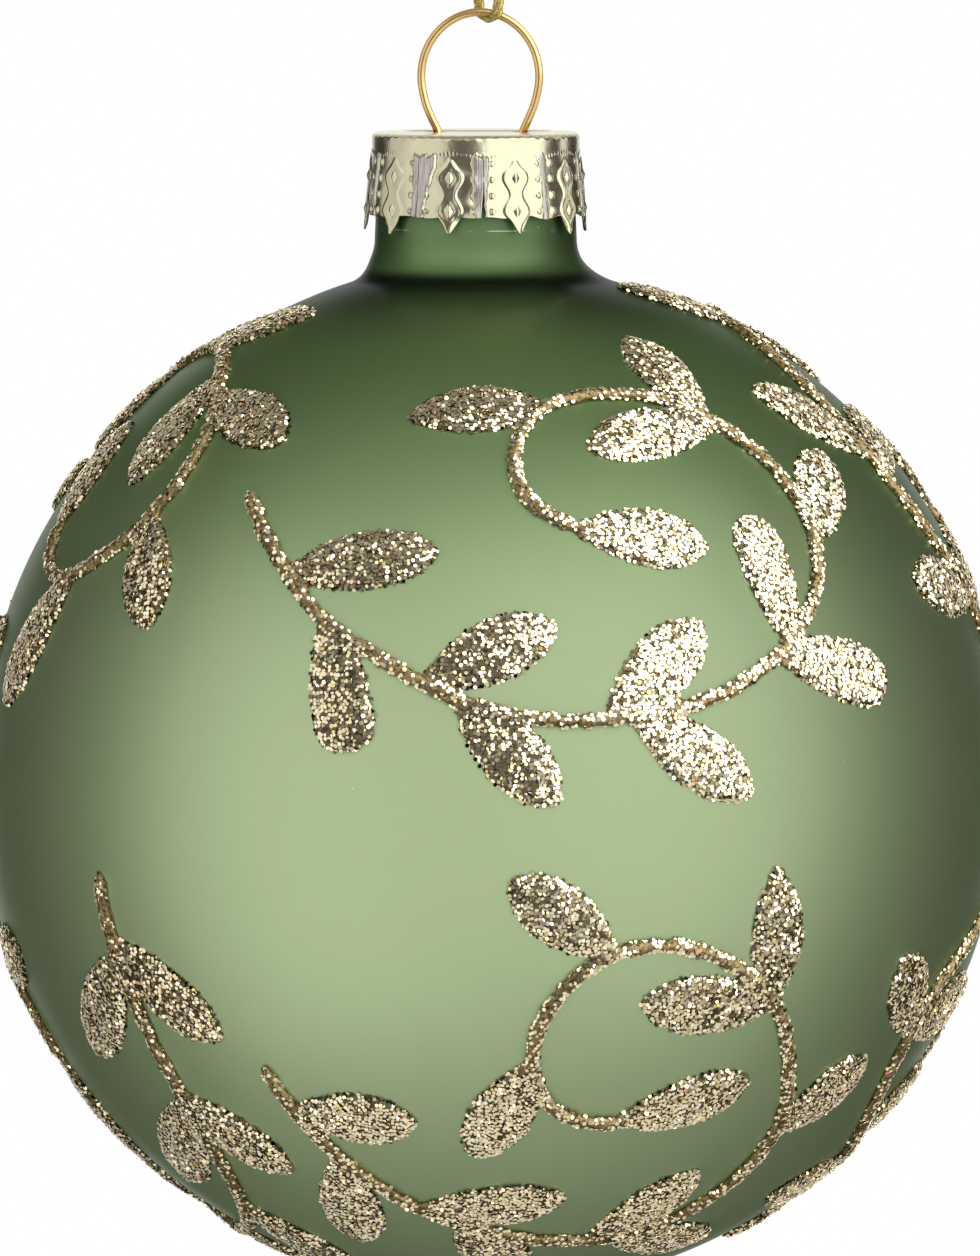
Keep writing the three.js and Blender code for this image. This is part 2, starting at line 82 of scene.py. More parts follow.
PICTURE_WIDTH = 980
PICTURE_HEIGHT = 1256
METRES_PER_PIXEL = 0.07805 * mm
BALL_PIXEL = (492.4, 776.8)  # where the ball's middle shows in the picture
CAMERA_DISTANCE = 2.5
CAMERA_CLIMB = math.radians(3.0)
SENSOR_HEIGHT = 36.0


def add_camera():
    towards = Vector((0, -math.cos(CAMERA_CLIMB), math.sin(CAMERA_CLIMB)))
    up = Vector((0, math.sin(CAMERA_CLIMB), math.cos(CAMERA_CLIMB)))
    right = Vector((1, 0, 0))
    off_right = (PICTURE_WIDTH / 2 - BALL_PIXEL[0]) * METRES_PER_PIXEL
    off_up = (BALL_PIXEL[1] - PICTURE_HEIGHT / 2) * METRES_PER_PIXEL
    data = bpy.data.cameras.new("picture_camera")
    data.sensor_fit = "VERTICAL"
    data.sensor_height = SENSOR_HEIGHT
    data.lens = SENSOR_HEIGHT * CAMERA_DISTANCE / (PICTURE_HEIGHT * METRES_PER_PIXEL)
    camera = add_object("picture_camera", data)
    aim = ball_centre + right * off_right + up * off_up
    camera.location = aim + towards * CAMERA_DISTANCE
    camera.rotation_euler = (-towards).to_track_quat("-Z", "Y").to_euler()
    bpy.context.scene.camera = camera


add_camera()


# Node trees


class Amount:
    """A value on its way through a node tree. Sums on it add Math nodes."""

    def __init__(self, graph, socket):
        self.graph = graph
        self.socket = socket

    def math(self, operation, *terms):
        return self.graph.node("ShaderNodeMath", {"operation": operation}, terms)

    def __add__(self, other):
        return self.math("ADD", self, other)

    def __sub__(self, other):
        return self.math("SUBTRACT", self, other)

    def __rsub__(self, other):
        return self.math("SUBTRACT", other, self)

    def __mul__(self, other):
        return self.math("MULTIPLY", self, other)

    def __pow__(self, exponent):
        return self.math("POWER", self, exponent)

    def __abs__(self):
        return self.math("ABSOLUTE", self)

    __radd__ = __add__
    __rmul__ = __mul__

    def between(self, low, high):
        """0 at low and 1 at high, with soft ends."""
        settings = {"interpolation_type": "SMOOTHSTEP"}
        values = {"Value": self, "From Min": low, "From Max": high}
        return self.graph.node("ShaderNodeMapRange", settings, values)

    def spread(self, low, high):
        """low where this is 0 and high where it is 1."""
        values = {"Value": self, "To Min": low, "To Max": high}
        return self.graph.node("ShaderNodeMapRange", {}, values)

    def beside(self, output):
        """Another output of the node that this one comes from."""
        return Amount(self.graph, self.socket.node.outputs[output])


class Graph:
    """A node tree under construction."""

    def __init__(self, tree):
        self.tree = tree
        self.tree.nodes.clear()

    def node(self, kind, settings, values, output=0):
        """Adds a node: its settings first, then the values or links of its sockets."""
        made = self.tree.nodes.new(kind)
        for name, value in settings.items():
            if name == "stops":
                fill_ramp(made.color_ramp, value)
            else:
                setattr(made, name, value)
        named = values.items() if isinstance(values, dict) else enumerate(values)
        for key, value in named:
            if isinstance(value, Amount):
                self.tree.links.new(value.socket, made.inputs[key])
            else:
                made.inputs[key].default_value = value
        return Amount(self, made.outputs[output]) if made.outputs else None

    def vector(self, operation, values, output=0):
        return self.node("ShaderNodeVectorMath", {"operation": operation}, values, output)


class Finish(Graph):
    """A material under construction."""

    def __init__(self, name):
        self.material = bpy.data.materials.new(name)
        self.material.use_nodes = True
        super().__init__(self.material.node_tree)

    def place(self):
        return self.node("ShaderNodeTexCoord", {}, {}, "Object")

    def height(self, place):
        return self.node("ShaderNodeSeparateXYZ", {}, [place], "Z")

    def noise(self, place, size, detail=2.0, roughness=0.5):
        """Soft noise with lumps of about the size."""
        values = {"Vector": place, "Scale": 1 / size, "Detail": detail, "Roughness": roughness}
        return self.node("ShaderNodeTexNoise", {}, values, "Fac")

    def cells(self, place, size, output="Distance"):
        values = {"Vector": place, "Scale": 1 / size}
        return self.node("ShaderNodeTexVoronoi", {}, values, output)

    def mix(self, share, first, second):
        values = {0: share, 6: first, 7: second}
        return self.node("ShaderNodeMix", {"data_type": "RGBA"}, values, 2)

    def ramp(self, share, stops):
        return self.node("ShaderNodeValToRGB", {"stops": stops}, [share])

    def attribute(self, name):
        return self.node("ShaderNodeAttribute", {"attribute_name": name}, {}, "Fac")

    def bump(self, height, distance, strength):
        values = {"Height": height, "Distance": distance, "Strength": strength}
        return self.node("ShaderNodeBump", {}, values)

    def surface(self, **values):
        """Ends the material in a Principled surface and returns the material."""
        named = {name.replace("_", " "): value for name, value in values.items()}
        shader = self.node("ShaderNodeBsdfPrincipled", {}, named)
        self.node("ShaderNodeOutputMaterial", {}, {"Surface": shader})
        return self.material


def fill_ramp(ramp, stops):
    while len(ramp.elements) < len(stops):
        ramp.elements.new(0.5)
    for element, (position, colour) in zip(ramp.elements, stops):
        element.position = position
        element.color = colour


def tint(red, green, blue):
    """A colour written as it looks, from 0 to 255, as the linear one that a shader takes."""
    shares = (red / 255, green / 255, blue / 255)
    linear = [s / 12.92 if s <= 0.04045 else ((s + 0.055) / 1.055) ** 2.4 for s in shares]
    return (*linear, 1.0)


# Finishes


def satin_green_glass():
    """Silvered glass under a green dye and a satin coat: a soft, wide mirror, with shade and light
    painted round the neck and on the top.
    """
    finish = Finish("satin_green_glass")
    place = finish.place()
    z = finish.height(place)
    cloud = finish.noise(place, 22 * mm, 3.0)
    fine = finish.noise(place, 0.35 * mm)
    body = finish.mix(cloud, tint(182, 201, 154), tint(188, 207, 160))
    # Painted shade: the top of the ball is painted a deeper, darker green, the colour it takes
    # where less light falls.
    upper = z.between(ball_centre.z + 10 * mm, ball_centre.z + 36 * mm)
    body = finish.mix(upper, body, tint(166, 200, 134))
    # The neck is a deeper green, partly its own dye and partly painted shade, and the shade is
    # painted darker up under the cap.
    neck_foot = lip_z - NECK_DEPTH
    painted_shade_under_cap = z.between(neck_foot + 0.5 * mm, neck_foot + 6 * mm)
    neck_dye_and_painted_shading = finish.mix(painted_shade_under_cap, tint(114, 143, 92), tint(106, 133, 89))
    # Painted light: a lighter band is painted low on the neck, just over its foot.
    painted_light_low_on_neck = z.between(neck_foot + 2.6 * mm, neck_foot + 0.9 * mm)
    neck_dye_and_painted_shading = finish.mix(painted_light_low_on_neck, neck_dye_and_painted_shading, tint(124, 156, 100))
    on_neck = z.between(neck_foot - 0.35 * mm, neck_foot + 0.6 * mm)
    dye_and_painted_shade = finish.mix(on_neck, body, neck_dye_and_painted_shading)
    # Painted shadow: the ball is painted darker in a ring round the neck's foot, where the cap and
    # neck shade it.
    painted_shadow_round_neck = z.between(neck_foot - 6.5 * mm, neck_foot - 0.4 * mm)
    on_ball = 1 - on_neck
    dye_and_painted_shade = finish.mix(painted_shadow_round_neck * painted_shadow_round_neck * on_ball * 0.86, dye_and_painted_shade, tint(48, 66, 44))
    # Painted shade: the crease where the neck meets the ball is painted darkest.
    painted_crease_shade = z.between(neck_foot - 1.5 * mm, neck_foot - 0.4 * mm) * on_ball
    dye_and_painted_shade = finish.mix(painted_crease_shade * 0.7, dye_and_painted_shade, tint(22, 34, 22))
    # A few specks of dust, and the broken pale line round the neck
    speck = finish.cells(place, 2.6 * mm).between(0.052, 0.03)
    patch = finish.noise(place, 5 * mm).between(0.5, 0.62)
    dusted = finish.mix(speck * patch * 0.35, dye_and_painted_shade, tint(235, 240, 228))
    seam = abs(z - (lip_z - SEAM_DEPTH)).between(0.055 * mm, 0.02 * mm)
    broken = finish.noise(place, 1.6 * mm).between(0.48, 0.6)
    lined = finish.mix(seam * broken * 0.8, dusted, tint(236, 240, 226))
    return finish.surface(
        Base_Color=lined,
        Metallic=1.0,
        Specular_Tint=(0.09, 0.16, 0.07, 1.0),
        Roughness=fine * 0.06 + 0.51,
        Coat_Weight=0.4,
        Coat_Roughness=0.28,
        Normal=finish.bump(fine, 0.003 * mm, 0.3),
    )


def cap_foil():
    """Thin pale gold foil, bright on the petals and rubbed grey along the folds."""
    finish = Finish("cap_foil")
    place = finish.place()
    dent = finish.noise(place, 1.3 * mm, 3.0, 0.55)
    drawn = finish.vector("MULTIPLY", [place, (1.0, 1.0, 0.08)])
    scratch = finish.noise(drawn, 0.16 * mm, 3.0, 0.7)
    fold = finish.attribute("fold")
    worn = fold * scratch.between(0.25, 0.6)
    gold = finish.mix(dent, tint(222, 214, 177), tint(235, 229, 198))
    rubbed = finish.mix(scratch.between(0.35, 0.65), tint(174, 168, 164), tint(220, 214, 206))
    return finish.surface(
        Base_Color=finish.mix(fold * 0.75 + worn * 0.2, gold, rubbed),
        Metallic=1.0,
        Roughness=fold * 0.18 + dent * 0.12 + 0.16,
        Normal=finish.bump(dent + scratch * fold * 0.6, 0.04 * mm, 0.7),
    )


def gold_wire():
    finish = Finish("gold_wire")
    place = finish.place()
    drawn = finish.noise(place, 0.9 * mm, 3.0, 0.6)
    return finish.surface(
        Base_Color=finish.mix(drawn, tint(226, 182, 116), tint(240, 206, 144)),
        Metallic=1.0,
        Roughness=drawn * 0.1 + 0.2,
        Normal=finish.bump(drawn, 0.003 * mm, 0.3),
    )


def gold_thread():
    finish = Finish("gold_thread")
    place = finish.place()
    strand = finish.noise(place, 0.12 * mm, 3.0, 0.7)
    shade = finish.noise(place, 0.7 * mm, 1.0)
    bright = finish.mix(strand.between(0.35, 0.65), tint(120, 104, 44), tint(232, 214, 130))
    return finish.surface(
        Base_Color=finish.mix(shade.between(0.35, 0.65) * 0.4, bright, tint(190, 170, 84)),
        Metallic=0.8,
        Roughness=strand * 0.2 + 0.28,
        Normal=finish.bump(strand, 0.05 * mm, 0.7),
    )


def glue():
    """The brown-gold bed between the flakes: clear glue full of flake edges."""
    finish = Finish("glitter_glue")
    place = finish.place()
    grain = finish.cells(place, 0.22 * mm, "Color")
    shade = finish.node("ShaderNodeSeparateColor", {}, [grain])
    in_leaf = finish.mix(shade, tint(40, 36, 26), tint(140, 124, 88))
    in_stem = finish.mix(shade, tint(90, 75, 46), tint(174, 149, 100))
    return finish.surface(
        Base_Color=finish.mix(finish.attribute("stem"), in_leaf, in_stem),
        Metallic=0.6,
        Roughness=shade * 0.3 + 0.3,
        Normal=finish.bump(shade, 0.06 * mm, 0.8),
    )


def flakes():
    """Champagne flakes that differ a little, with a rare red, pink or yellow one, and a dark tone
    that paints shade on loose flakes.
    """
    finish = Finish("glitter_flakes")
    tone = finish.attribute("tone")
    shades = [
        # Tone 0 is a painted shade, worn by loose flakes away from the light; a few scattered
        # flakes draw tones near it at random.
        (0.0, tint(58, 56, 40)),
        (0.005, tint(196, 176, 134)),
        (0.06, tint(218, 201, 161)),
        (0.5, tint(230, 215, 177)),
        (0.975, tint(242, 232, 203)),
        (0.985, tint(238, 214, 130)),
        (0.994, tint(232, 206, 150)),
        (1.0, tint(214, 120, 110)),
    ]
    return finish.surface(
        Base_Color=finish.ramp(tone, shades),
        Metallic=1.0,
        Roughness=tone * 0.08 + 0.08,
    )


# Mesh building


def add_piece(name, vertices, faces, material, smooth=True):
    """Makes a closed mesh with its faces outward, and its object at the origin."""
    mesh = bpy.data.meshes.new(name)
    mesh.from_pydata([tuple(v) for v in vertices], [], faces)
    body = bmesh.new()
    body.from_mesh(mesh)
    bmesh.ops.recalc_face_normals(body, faces=body.faces)
    body.to_mesh(mesh)
    body.free()
    mesh.polygons.foreach_set("use_smooth", [smooth] * len(mesh.polygons))
    mesh.materials.append(material)
    return add_object(name, mesh)


def finished(piece):
    """The piece with its modifiers worked into a plain mesh."""
    bpy.context.view_layer.update()
    evaluated = piece.evaluated_get(bpy.context.evaluated_depsgraph_get())
    made = bpy.data.meshes.new_from_object(evaluated)
    piece.modifiers.clear()
    old = piece.data
    piece.data = made
    bpy.data.meshes.remove(old)
    made.name = piece.name
    return piece


def skin(rings, start=0):
    """Quads between rings of as many points each, with a closing face at each end."""
    count = len(rings)
    sides = len(rings[0])
    vertices = [point for ring in rings for point in ring]
    faces = []
    for i in range(count - 1):
        for j in range(sides):
            a = start + i * sides + j
            b = start + i * sides + (j + 1) % sides
            faces.append((a, b, b + sides, a + sides))
    faces.append(tuple(start + j for j in range(sides)))
    faces.append(tuple(start + (count - 1) * sides + j for j in range(sides)))
    return vertices, faces


def eased(share):
    """A share from 0 to 1, with soft ends."""
    return share * share * (3 - 2 * share)


def step(value, low, high):
    """0 below low, 1 above high and smooth between them."""
    return eased(np.clip((value - low) / (high - low), 0, 1))


def unit(vector):
    return vector / np.linalg.norm(vector)


def unit_rows(vectors):
    """Each row of vectors at length one."""
    return vectors / np.linalg.norm(vectors, axis=1)[:, None]


def whole_turn(count):
    """Evenly spaced angles once round."""
    return np.linspace(0, 2 * math.pi, count, endpoint=False)


def mark_points(mesh, name, values):
    """Writes a value for each point of a mesh, which a finish or the scatter reads by name."""
    mark = mesh.attributes.new(name, "FLOAT", "POINT")
    mark.data.foreach_set("value", values)


def run_along(line):
    """How far along a line each of its points lies."""
    return np.concatenate([[0], np.cumsum(np.linalg.norm(np.diff(line, axis=0), axis=1))])


def places_at(distances, run, line):
    """The places at distances along a line."""
    return np.stack([np.interp(distances, run, line[:, k]) for k in range(3)], axis=-1)


def curve_through(points, spacing):
    """Evenly spaced places on a smooth curve through the points."""
    points = np.array(points, float)
    first = 2 * points[0] - points[1]
    last = 2 * points[-1] - points[-2]
    padded = np.vstack([first, points, last])
    gaps = np.sqrt(np.linalg.norm(np.diff(padded, axis=0), axis=1))
    t = np.linspace(0, 1, 24, endpoint=False)[:, None]
    stretches = []
    for i in range(len(points) - 1):
        p0, p1, p2, p3 = padded[i : i + 4]
        g0, g1, g2 = gaps[i : i + 3]
        leave = ((p1 - p0) / g0 - (p2 - p0) / (g0 + g1) + (p2 - p1) / g1) * g1
        arrive = ((p2 - p1) / g1 - (p3 - p1) / (g1 + g2) + (p3 - p2) / g2) * g1
        square = 3 * (p2 - p1) - 2 * leave - arrive
        cube = 2 * (p1 - p2) + leave + arrive
        stretches.append(p1 + t * leave + t**2 * square + t**3 * cube)
    fine = np.vstack([*stretches, points[-1:]])
    run = run_along(fine)
    count = max(2, math.ceil(run[-1] / spacing)) + 1
    return places_at(np.linspace(0, run[-1], count), run, fine)


def carried_frames(path):
    """Two directions across a path at each of its points, that turn as little as they can."""
    ahead = unit_rows(np.gradient(path, axis=0))
    side = np.cross(ahead[0], (0.3, 1.0, 0.2))
    sides = []
    for direction in ahead:
        side = unit(side - direction * (side @ direction))
        sides.append(side)
    sides = np.array(sides)
    return sides, np.cross(ahead, sides)


def tube_rings(path, radius, sides):
    """Round rings along a path. The radius may be one number or one for each point."""
    first, second = carried_frames(path)
    turns = whole_turn(sides)
    wide = np.broadcast_to(radius, len(path))
    return [
        p + r * (np.outer(np.cos(turns), a) + np.outer(np.sin(turns), b))
        for p, a, b, r in zip(path, first, second, wide)
    ]


def join_skins(skins):
    """One list of vertices and faces from several."""
    vertices, faces = [], []
    for rings in skins:
        points, quads = skin(rings, len(vertices))
        vertices.extend(points)
        faces.extend(quads)
    return vertices, faces


# Cord: a twisted metallic thread, from the knot down behind the eye and up in front of it

CORD_RADIUS = 0.45 * mm
CORD_STRANDS = 3
CORD_PITCH = 2.6 * mm
CORD_STEP = 0.16 * mm
KNOT_STEP = 0.14 * mm
STRAND_SIDES = 8
STRAND_FULLNESS = 1.22  # how much the soft strands press into each other
# The cord's middle line in mm: the side that comes down from the knot, and the bight in the eye
CORD_SIDE = [
    (-0.5, 0, 1.1), (-1.25, 0, 0.35), (-1.75, 0, -1.2), (-1.85, 0.05, -3.5), (-1.75, 0.2, -9),
    (-1.6, 0.4, -15), (-1.45, 0.6, -21), (-1.3, 0.8, -27), (-1.1, 1, -34), (-0.9, 1.2, -40),
    (-0.78, 1.3, -42.6), (-0.72, 1.3, -43.85),
]
CORD_BIGHT = [(-0.55, 0.92, -44.92), (-0.02, 0, -45.34), (0.52, -0.92, -44.92)]

cord_route = [*CORD_SIDE, *CORD_BIGHT, *((-x, -y, z) for x, y, z in reversed(CORD_SIDE))]
cord_line = curve_through(np.array(cord_route) * mm, CORD_STEP)
thread = gold_thread()


def twisted_strands(path, radius):
    """Rings of the strands that wind round a path and fill a round cord of the radius."""
    first, second = carried_frames(path)
    run = np.arange(len(path)) * np.linalg.norm(path[1] - path[0])
    radius = np.broadcast_to(radius, len(path))
    strand_radius = STRAND_FULLNESS * radius / (1 + 1 / math.sin(math.pi / CORD_STRANDS))
    reach = radius - strand_radius
    skins = []
    for k in range(CORD_STRANDS):
        turn = 2 * math.pi * (run / CORD_PITCH + k / CORD_STRANDS)
        off = first * np.cos(turn)[:, None] + second * np.sin(turn)[:, None]
        skins.append(tube_rings(path + off * reach[:, None], strand_radius, STRAND_SIDES))
    return skins


TIGHT_LIFT = 0.76 * mm
TIGHT_REACH = 1.5 * mm
TIGHT_THINNING = 0.38


def drawn_tight(path):
    """The path lifted against the wire where the cord bends under it, and its radii there."""
    near = eased(np.clip(1 - (path[:, 2] - path[:, 2].min()) / TIGHT_REACH, 0, 1))
    lifted = path.copy()
    lifted[:, 2] += TIGHT_LIFT * near
    return lifted, CORD_RADIUS * (1 - TIGHT_THINNING * near)


cord_strands = twisted_strands(*drawn_tight(cord_line))
cord = add_piece("twisted_cord", *join_skins(cord_strands), thread)

KNOT_RISE = 1.75 * mm  # of the knot's middle over the lowest part of its solid
KNOT_REACH = 0.95 * mm
KNOT_CLIMB = 0.75 * mm
KNOT_PLACES = 13
KNOT_HALF_TURNS = 3.1
# Each tail from the knot's middle, in mm: its foot, then how far it goes on from there
TAIL_FOOT = (0.35, 0, 1.5)
TAIL_BEND = (0.45, 0.25, 2.4)
TAIL_END = (1.05, 0.4, 4.2)
knot_middle = np.array(Vector((0, 0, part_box("cord_knot")[0].z + KNOT_RISE)))


def knot_skins():
    """Both ends of the cord wound round each other, with a tail each."""
    skins = []
    for side in (-1, 1):
        end = cord_line if side < 0 else cord_line[::-1]
        points = [end[4], end[0]]
        for place in range(1, KNOT_PLACES + 1):
            turn = place / KNOT_PLACES * KNOT_HALF_TURNS * math.pi + (0 if side < 0 else math.pi)
            climb = KNOT_CLIMB * math.sin(place / KNOT_PLACES * 2.0 * math.pi - 0.6)
            wide = KNOT_REACH * (0.72 + 0.28 * math.cos(2 * turn))
            around = np.array((-wide * math.cos(turn), wide * math.sin(turn), climb))
            points.append(knot_middle + around)
        foot, bend, tip = (
            np.array((side * x * mm, side * y * mm, z * mm))
            for x, y, z in (TAIL_FOOT, TAIL_BEND, TAIL_END)
        )
        top = knot_middle + foot
        path = curve_through([*points, top, top + bend, top + tip], KNOT_STEP)
        skins.extend(twisted_strands(path, CORD_RADIUS))
    return skins


knot = add_piece("cord_overhand_knot", *join_skins(knot_skins()), thread)


# Ball

BALL_SEGMENTS = 192
OUTSIDE_STEPS = 110
FILLET_STEPS = 14
WALL_STEPS = 8
LIP_STEPS = 4
INNER_FILLET_STEPS = 8
INSIDE_STEPS = 48


def arc(centre_radius, centre_height, radius, low, high, steps):
    angles = np.radians(np.linspace(low, high, steps + 1))
    return [
        (centre_radius + radius * math.cos(a), centre_height + radius * math.sin(a))
        for a in angles
    ]


def shoulder(sphere_radius, neck_radius, fillet):
    """The middle of the fillet between sphere and neck, and the latitude where it starts."""
    centre_radius = neck_radius + fillet
    centre_height = math.sqrt((sphere_radius + fillet) ** 2 - centre_radius**2)
    return centre_radius, centre_height, math.degrees(math.atan2(centre_height, centre_radius))


fillet_foot = math.radians(shoulder(BALL_RADIUS, NECK_RADIUS, SHOULDER_FILLET)[2])
lean_height = BALL_RADIUS * math.sin(fillet_foot)


def lean_at(height):
    """How far the glass stands to the right of the neck at a height over the ball's middle."""
    t = (height - lean_height + LEAN_HALF_HEIGHT) / (2 * LEAN_HALF_HEIGHT)
    return BALL_LEAN * (1 - eased(min(max(t, 0.0), 1.0)))


def ball_profile():
    """Radius and height from the foot up the outside, over the lip and down the inside."""
    inner_radius = BALL_RADIUS - BALL_WALL
    inner_fillet = SHOULDER_FILLET + NECK_RADIUS - BORE_RADIUS
    out_r, out_h, out_foot = shoulder(BALL_RADIUS, NECK_RADIUS, SHOULDER_FILLET)
    in_r, in_h, in_foot = shoulder(inner_radius, BORE_RADIUS, inner_fillet)
    lip_flat = lip_z - ball_centre.z - LIP_ROUND
    wall = [
        (NECK_RADIUS + (LIP_RADIUS - NECK_RADIUS) * t, out_h + (lip_flat - out_h) * t)
        for t in np.linspace(0, 1, WALL_STEPS + 1)[:-1]
    ]
    return [
        *arc(0, 0, BALL_RADIUS, -90, out_foot, OUTSIDE_STEPS)[1:],
        *arc(out_r, out_h, SHOULDER_FILLET, out_foot + 180, 180, FILLET_STEPS)[1:-1],
        *wall,
        *arc(LIP_RADIUS - LIP_ROUND, lip_flat, LIP_ROUND, 0, 90, LIP_STEPS),
        *arc(BORE_RADIUS + LIP_ROUND, lip_flat, LIP_ROUND, 90, 180, LIP_STEPS),
        *arc(in_r, in_h, inner_fillet, 180, in_foot + 180, INNER_FILLET_STEPS),
        *arc(0, 0, inner_radius, in_foot, -90, INSIDE_STEPS)[1:-1],
    ]


def glass_ball():
    """The profile turned round the neck's axis, and closed at both poles."""
    turns = whole_turn(BALL_SEGMENTS)
    rings = []
    for radius, height in ball_profile():
        x = neck_x + lean_at(height) + radius * np.cos(turns)
        z = np.full(BALL_SEGMENTS, ball_centre.z + height)
        rings.append(np.column_stack([x, radius * np.sin(turns), z]))
    vertices, faces = skin(rings)
    faces = faces[:-2]
    pole = len(vertices)
    vertices.append(np.array(ball_centre) - (0, 0, BALL_RADIUS))
    vertices.append(np.array(ball_centre) - (0, 0, BALL_RADIUS - BALL_WALL))
    last = (len(rings) - 1) * BALL_SEGMENTS
    for j in range(BALL_SEGMENTS):
        after = (j + 1) % BALL_SEGMENTS
        faces.append((pole, after, j))
        faces.append((pole + 1, last + j, last + after))
    return add_piece("satin_glass_ball", vertices, faces, satin_green_glass())


ball = glass_ball()


# Glitter vines

GLUE_SINK = 0.06 * mm  # how deep the glue's foot lies in the satin coat
STEM_HALF_WIDTH = 0.56 * mm
STEM_RISE = 0.66 * mm
STEM_ROUNDNESS = 0.8
STEM_STEP = 0.5 * mm
LEAF_HALF_WIDTH = 2.42 * mm
LEAF_RISE = 0.55 * mm
LEAF_ROUNDNESS = 0.4
LEAF_PLACES = 22
RAGGED = 0.13 * mm  # how far the glue's outline wanders
GLUE_VOXEL = 0.28 * mm
FLAKE_RADIUS = 0.168 * mm
FLAKE_THICKNESS = 0.03 * mm
FLAKE_STACK = 0.11 * mm  # how high flakes may lie on each other
TILT_RARITY = 5.0  # the higher, the fewer flakes lean more than the usual tilt
DENSEST = 9.0e7  # flakes to a square metre, before their spacing thins them out
OUTWARD = 1.3  # how strongly flakes face away from the ball, against the glue's own slope
RIM_SPACING = 0.3 * mm  # between the flakes that lie loose along a leaf's outline
RIM_REACH = 0.14 * mm
RIM_LOOK_AHEAD = 0.1 * mm
PAINTED_SHADE_SHARE = 0.45  # of the loose flakes away from the bright side that are painted dark as shade

# The vines as [longitude, latitude] in degrees, from the camera side towards +X.
# A leaf is its place on the stem, then its tip, and for some how blunt and how full it is.
UPPER_FRONT = {
    "stem": [
        (-35.5, 36), (-28.5, 28.5), (-20.5, 20.8), (-12, 15.8), (-4, 11.8), (5, 9.6), (15, 9.6),
        (24, 11.2), (32, 14.5), (39, 19.5), (43.8, 25.5), (45.6, 32), (43.8, 39), (39, 44.5),
        (32, 48.8), (23, 50.4), (14, 50), (7.5, 47.8), (4, 43.8), (3.2, 39), (5.5, 34.8),
        (11, 31.6),
    ],
    "leaves": [
        (-25, 26.6, -6.8, 28.7), (-19.5, 20, -16, 5.8, 1, 0.98), (-7.5, 13.4, 7.5, 20.3),
        (-3.5, 11.6, 7.3, 0.2), (13, 9.6, 25.4, 20.2), (16, 9.7, 29.8, 0.8),
        (35, 16.2, 51, 12.3, 0.6, 1), (37.2, 18, 35.5, 33, 0.6, 0.9), (45, 29.5, 57, 40.8),
        (38, 46, 14.5, 42.2), (36.5, 47, 32, 60.8), (9, 48.6, -13.8, 46.9, -0.4, 1),
        (12, 31.4, 28.2, 29),
    ],
}

LOWER_FRONT = {
    "stem": [
        (-31, -31), (-29, -36), (-24.5, -43.5), (-18, -50), (-10, -54.8), (0, -58), (12, -60),
        (25, -60), (36, -57.2), (43, -51.5), (46, -44), (45, -37), (41, -30), (36.5, -23.5),
        (30, -18.8), (22, -16), (14, -16.8), (8.8, -20.5), (5.6, -26), (5.4, -32), (9, -36.8),
        (15, -38.6), (19, -38.4),
    ],
    "leaves": [
        (-28.5, -37, -10.8, -38.5), (-24, -44.5, -31, -61), (-13, -53, 13, -50.8),
        (-7, -56, 9, -68.5), (23, -60, 35.5, -46.8), (27, -60, 58, -60.5),
        (45.6, -41, 57.8, -31), (36, -23, 18, -22.8), (36.2, -23.2, 33.4, -7.2, -0.5, 0.95),
        (14, -16.8, 2, -8.2), (5.4, -30.5, -3, -43.8), (18, -38.6, 36.2, -33),
    ],
}

UPPER_LEFT = {
    "stem": [
        (-97, 10), (-101, 18), (-105, 26), (-107, 34), (-106, 42), (-101, 49), (-93, 53.8),
        (-84, 56.4), (-74, 56.8), (-66, 55.3), (-59, 52.3), (-53.5, 48.8), (-49.8, 44.5),
        (-48.6, 39.5), (-49.8, 34.5), (-53, 30), (-58.5, 26.3), (-66, 24), (-72, 26),
        (-75.5, 30),
    ],
    "leaves": [
        (-97.5, 11.5, -81, 16.8), (-102, 19.5, -115, 25), (-107, 33, -117.5, 44),
        (-107, 32, -89, 35.5), (-99, 51, -113, 61), (-94, 53, -89, 39.5), (-84, 56.4, -57, 65.8),
        (-59.5, 52.6, -60, 36), (-54, 49.2, -33.5, 42.8), (-51, 32.3, -44.5, 19),
        (-63, 24.6, -72.7, 9), (-75.2, 29.6, -78, 44.4),
    ],
}

UPPER_RIGHT = {
    "stem": [
        (86, 12), (82, 18), (77.5, 24.5), (73.5, 31), (70.8, 37.5), (70.2, 44), (71, 50),
        (73.5, 55.5), (79, 61), (88, 64.5), (99, 64.5), (109, 61), (116.5, 55.5), (121, 49),
        (122.5, 41), (120.5, 33.5), (115, 27), (107, 24), (99, 26), (94.5, 31.5),
    ],
    "leaves": [
        (80, 21, 63, 23.8), (81, 19.5, 95, 28.5), (70.5, 40, 52.3, 50.8), (71, 37, 89.5, 45.5),
        (82, 62.5, 68, 74), (111, 60, 121, 71.5), (104, 63, 101, 49.5), (120.5, 50, 136, 45),
        (122, 37, 135, 28.5), (110, 24.7, 104, 10), (119, 30.5, 130, 17.5), (95, 31, 97, 44.5),
    ],
}

LOWER_LEFT = {
    "stem": [
        (-50, -8.5), (-49.8, -14), (-49, -20), (-48, -28), (-47.3, -36), (-48, -43),
        (-50.5, -49.5), (-56, -54.8), (-65, -58.6), (-77, -60.5), (-90, -59.5), (-101, -55),
        (-107.5, -48), (-110, -39), (-108, -30), (-102, -23.5), (-94, -20.5), (-87, -22.5),
        (-83.5, -27.5), (-83, -33),
    ],
    "leaves": [
        (-49.4, -17.5, -62.5, -31), (-49.4, -16.5, -36, -27.8), (-47.4, -36, -66, -50),
        (-47.4, -35.5, -34.3, -47), (-55, -54, -47, -69.5), (-80, -60.5, -99, -70.5),
        (-97, -57, -92, -43.5), (-106, -50.5, -119, -56), (-109.5, -36, -122, -41),
        (-105, -26.5, -114, -15), (-96, -20.8, -100, -7), (-89, -21.4, -75.5, -18.3),
        (-83, -32.5, -85.5, -48),
    ],
}

